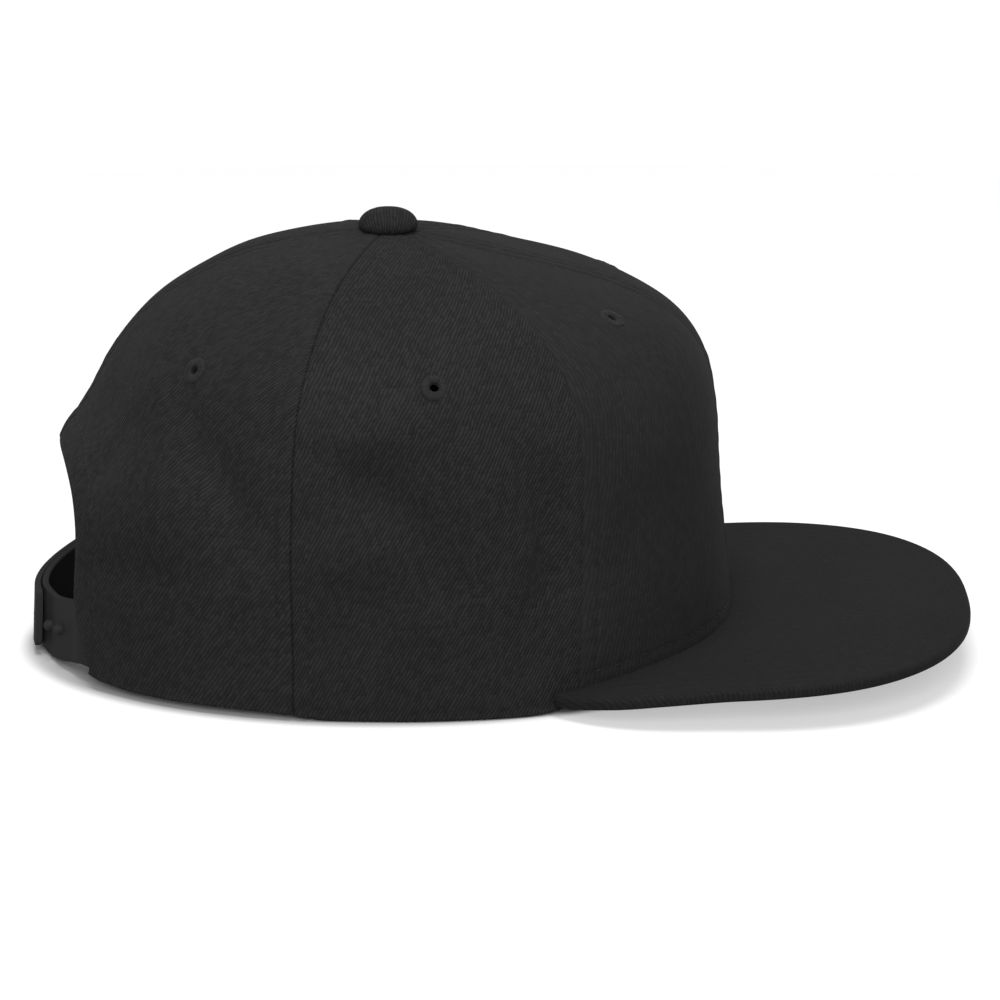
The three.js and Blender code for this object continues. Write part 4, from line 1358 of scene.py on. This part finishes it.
ARCH_SIDE_LENGTH = length_at_angle(ARCH_EDGE_ANGLE)
TUCKED_LENGTH = length_at_angle(STRAP_END_ANGLE)
FIRST_SHARED = -LAP_SHIFT - (HOLES_SHARED - 1) * STUD_PITCH / 2


def beside_lap(length):
    """How far the half with the studs has sprung inward and down beside the other half's free end."""
    return smooth_step((FIRST_SHARED - length) / STRAP_SPRING_LENGTH)


def bow_at(length):
    """How far the strap stands out from the crown's line across the arch."""
    return STRAP_BOW * (1 - strap_share(length))


def inner_half_depth(length):
    """Depth of the outer face of the half with the studs."""
    from_arch = smooth_step((length + ARCH_SIDE_LENGTH) / STRAP_SPRING_LENGTH)
    return STRAP_FACE - bow_at(length) + STRAP_SPRING * beside_lap(length) * from_arch


def outer_half_depth(length):
    """Depth of the outer face of the half with the holes, which lies over the other across the arch."""
    lap_end = FIRST_SHARED + (HOLES_SHARED - 1) * STUD_PITCH + STRAP_END_MARGIN
    lifted = STRAP_FACE - bow_at(length) - STRAP_THICKNESS - FIT
    past = (length - lap_end) / (ARCH_SIDE_LENGTH - STRAP_CLEAR - lap_end)
    return lifted + (STRAP_FACE - lifted) * smooth_step(past)


def strap_share(length):
    """Zero at the middle of the strap, rising to one at the sides of the arch."""
    return np.minimum(1, (length / ARCH_SIDE_LENGTH) ** 2)


def strap_point(length, depth, above=0.0):
    """A point of the strap by length, depth under the crown's face and height over its middle line."""
    z = STRAP_MIDDLE - STRAP_SAG * (1 - strap_share(length)) + above
    point = crown_inside(angle_at_length(length), up_at_height(z / CROWN_HEIGHT), depth)
    point[..., 2] = z
    return point


def stud_half_drop(length):
    """How far the half with the studs hangs lower beside the other half's free end."""
    return STRAP_DROP * beside_lap(length) * (1 - strap_share(length))


def strap_strip(name, start, end, tip_height, depth_at, drop_at):
    """Flat strip with rounded edges and a rounded free end."""
    free = start if abs(start) < abs(end) else end
    steps = 120
    length = start + (end - start) * (0.5 - 0.5 * np.cos(np.linspace(0, math.pi, steps + 1)))
    inset = np.maximum(0, STRAP_END_RADIUS - np.abs(length - free))
    cut = STRAP_END_RADIUS - np.sqrt(STRAP_END_RADIUS**2 - inset**2)
    height = tip_height + (STRAP_HEIGHT - tip_height) * strap_share(length)
    half = height / 2 - cut
    corner = 0.5
    section = []
    for cx, cz, start_turn in ((1, 1, 0), (-1, 1, 90), (-1, -1, 180), (1, -1, 270)):
        for step in range(5):
            turn = math.radians(start_turn + step * 22.5)
            section.append((cx, cz, corner * math.cos(turn), corner * math.sin(turn)))
    loops = []
    for cx, cz, dx, dz in section:
        above = cx * (half - corner) + dx - drop_at(length)
        out = cz * (STRAP_THICKNESS / 2 - corner) + dz
        loops.append(strap_point(length, depth_at(length) + STRAP_THICKNESS / 2 - out, above))
    loops = np.array(loops).transpose(1, 0, 2)
    rows, columns = loops.shape[:2]
    piece = make_mesh(name, loops, ring_faces(rows, columns, False))
    close_ends(piece)
    return piece


def strap_normal(length):
    """Level direction out of the strap's face."""
    normal = crown_frame(np.array([angle_at_length(length)]), np.array([STRAP_UP]))[0][0]
    normal[2] = 0
    return unit(normal)


def turned_on(point, normal, profile, name):
    """A turned shape about a normal through a point."""
    across = unit(np.cross(normal, [0.0, 0.0, 1.0]))
    over = np.cross(across, normal)
    turn = np.linspace(0, 2 * math.pi, TOOL_COLUMNS, endpoint=False)
    ring = np.cos(turn)[:, None] * across + np.sin(turn)[:, None] * over
    points = np.array([point + radius * ring + height * normal for radius, height in profile])
    piece = make_mesh(name, points, ring_faces(len(profile), TOOL_COLUMNS, False))
    close_ends(piece)
    return piece


def apply_modifiers(piece):
    """Puts what the modifiers make in place of a piece's own mesh."""
    shown = piece.evaluated_get(bpy.context.evaluated_depsgraph_get())
    mesh = bpy.data.meshes.new_from_object(shown)
    piece.modifiers.clear()
    old = piece.data
    piece.data = mesh
    bpy.data.meshes.remove(old)


def merge_pieces(main, others, operation):
    """Joins or cuts small shapes into a strip and deletes them."""
    group = bpy.data.collections.new(main.name + "_tools")
    bpy.context.scene.collection.children.link(group)
    for other in others:
        bpy.context.scene.collection.objects.unlink(other)
        group.objects.link(other)
    cut = main.modifiers.new("cut", "BOOLEAN")
    cut.operation = operation
    cut.solver = "EXACT"
    cut.operand_type = "COLLECTION"
    cut.collection = group
    apply_modifiers(main)
    for other in others:
        bpy.data.objects.remove(other)
    bpy.data.collections.remove(group)
    main.data.polygons.foreach_set("use_smooth", [True] * len(main.data.polygons))
    main.data.set_sharp_from_angle(angle=math.radians(38))


# Round top of a stud: distance in from its side and down from its tip
STUD_DOME = [(0.0, 1.5), (0.08, 1.0), (0.3, 0.55), (0.7, 0.22), (1.15, 0.06)]
# How much wider a hole is at its inner end, and how far the shape that cuts it reaches past the strap
HOLE_FLARE = 0.4
CUTTER_REACH = 3.0
TOOL_COLUMNS = 40


def snap_strap():
    """The two halves of the strap, closed with their studs in the holes."""
    stud_at = [FIRST_SHARED + (HOLES_SHARED - 1 - n) * STUD_PITCH for n in range(STUD_COUNT)]
    hole_at = [FIRST_SHARED + n * STUD_PITCH for n in range(HOLE_COUNT)]
    studs = strap_strip("snap_strap_studs", -TUCKED_LENGTH, stud_at[0] + STRAP_TONGUE, STUD_TIP_HEIGHT,
                        inner_half_depth, stud_half_drop)
    radius = STUD_WIDTH / 2
    reach = STRAP_THICKNESS * 1.5 + FIT
    tools = []
    for length in stud_at:
        at = np.array([length])
        middle = inner_half_depth(at) + STRAP_THICKNESS / 2
        foot = strap_point(at, middle, -stud_half_drop(at))[0]
        dome = [(radius - off, reach - low) for off, low in STUD_DOME]
        profile = [(radius, 0.0), *dome, (0.2, reach)]
        tools.append(turned_on(foot, strap_normal(length), profile, "stud"))
    merge_pieces(studs, tools, "UNION")
    fit_piece(studs, "strap_plastic", STRAP_PLASTIC, "strap_with_studs")
    holes = strap_strip("snap_strap_holes", hole_at[0] - STRAP_END_MARGIN, TUCKED_LENGTH, STRAP_TIP_HEIGHT,
                        outer_half_depth, np.zeros_like)
    tools = []
    for length in hole_at:
        at = np.array([length])
        centre = strap_point(at, outer_half_depth(at) + STRAP_THICKNESS / 2)[0]
        half = STRAP_THICKNESS / 2
        bore = radius + FIT
        profile = [
            (bore + CUTTER_REACH, -half - CUTTER_REACH), (bore, -half + 0.2), (bore, half - 0.25),
            (bore + HOLE_FLARE, half + 0.15), (bore + HOLE_FLARE, half + CUTTER_REACH),
        ]
        tools.append(turned_on(centre, strap_normal(length), profile, "hole"))
    merge_pieces(holes, tools, "DIFFERENCE")
    fit_piece(holes, "strap_plastic", STRAP_PLASTIC, "strap_with_holes")


snap_strap()

# Camera at the photograph's angle
CAMERA_ELEVATION = math.radians(15.6)
CAMERA_TARGET = Vector(((34.2 + SHIFT[0]) * MM, 0.0, 43.4 * MM))
CAMERA_DISTANCE = 1450 * MM
FRAME_SIZE = 1000
PIXELS_PER_MM = 3.4
SENSOR = 36.0


def place_camera():
    data = bpy.data.cameras.new("camera")
    camera = bpy.data.objects.new("camera", data)
    bpy.context.scene.collection.objects.link(camera)
    back = Vector((0.0, -math.cos(CAMERA_ELEVATION), math.sin(CAMERA_ELEVATION)))
    camera.location = CAMERA_TARGET + back * CAMERA_DISTANCE
    camera.rotation_euler = back.to_track_quat("Z", "Y").to_euler()
    data.sensor_width = SENSOR
    data.lens = PIXELS_PER_MM * (CAMERA_DISTANCE / MM) / FRAME_SIZE * SENSOR
    data.clip_start = 0.05
    data.clip_end = 50.0
    bpy.context.scene.camera = camera


# Studio: lengths in metres, the floor's glow and where it is full as a share of the rim's half width, and
# the strength of the white surroundings as light and as the camera sees them
LIGHT_AIM = Vector((0.0, 0.0, 0.05))
FLOOR_RADIUS = 0.7
FLOOR_BELOW = 0.0002
FLOOR_GLOW = 0.46
FLOOR_GLOW_FROM = 1.07
WORLD_LIGHT = 0.42
WORLD_SHOWN = 1.05


def area_light(name, place, size, power):
    """A round soft light, aimed at the cap: place and size in metres, power in watts."""
    data = bpy.data.lights.new(name, "AREA")
    data.shape = "DISK"
    data.size = size
    data.energy = power
    light = bpy.data.objects.new(name, data)
    bpy.context.scene.collection.objects.link(light)
    light.location = place
    light.rotation_euler = (Vector(place) - LIGHT_AIM).to_track_quat("Z", "Y").to_euler()


def studio():
    """Floor and surroundings that look white to the camera, and soft lights from above and in front.

    The floor glows for the camera alone, and not under the crown, so the inside of the cap stays dark.
    """
    bpy.ops.mesh.primitive_circle_add(vertices=96, radius=FLOOR_RADIUS, fill_type="NGON",
                                      location=(0, 0, -FLOOR_BELOW))
    floor = bpy.context.active_object
    floor.name = "floor"
    material, tree, shader = new_material("pale_floor", {
        "Base Color": tone(0.5), "Roughness": 0.9, "Specular IOR Level": 0.1, "Emission Color": tone(1.0),
    })
    camera_ray = add_node(tree, "LightPath").outputs["Is Camera Ray"]
    crown = add_node(tree, "Mapping")
    crown.vector_type = "TEXTURE"
    crown.inputs["Location"].default_value = (SHIFT[0] * MM, 0.0, 0.0)
    crown.inputs["Scale"].default_value = (HALF_LENGTH * MM, HALF_WIDTH * MM, 1.0)
    tree.links.new(add_node(tree, "TexCoord").outputs["Object"], crown.inputs["Vector"])
    off_middle = add_node(tree, "VectorMath")
    off_middle.operation = "LENGTH"
    tree.links.new(crown.outputs[0], off_middle.inputs[0])
    beside = add_node(tree, "MapRange", {
        "Value": off_middle.outputs["Value"], "From Min": 1.0, "From Max": FLOOR_GLOW_FROM,
        "To Max": FLOOR_GLOW,
    })
    beside.interpolation_type = "SMOOTHSTEP"
    connect(tree, math_node(tree, "MULTIPLY", camera_ray, beside.outputs[0]), shader["Emission Strength"])
    floor.data.materials.append(material)
    world = bpy.data.worlds.new("studio")
    bpy.context.scene.world = world
    world.use_nodes = True
    background = world.node_tree.nodes["Background"].inputs
    background["Color"].default_value = tone(1.0)
    camera_ray = add_node(world.node_tree, "LightPath").outputs["Is Camera Ray"]
    strength = map_range(world.node_tree, camera_ray, WORLD_LIGHT, WORLD_SHOWN)
    connect(world.node_tree, strength, background["Strength"])
    area_light("overhead", (0.0, -0.25, 1.9), 1.1, 28.5)
    area_light("front_fill", (0.0, -1.8, 0.85), 1.0, 27.0)


place_camera()
studio()
bpy.context.scene.view_settings.view_transform = "Standard"
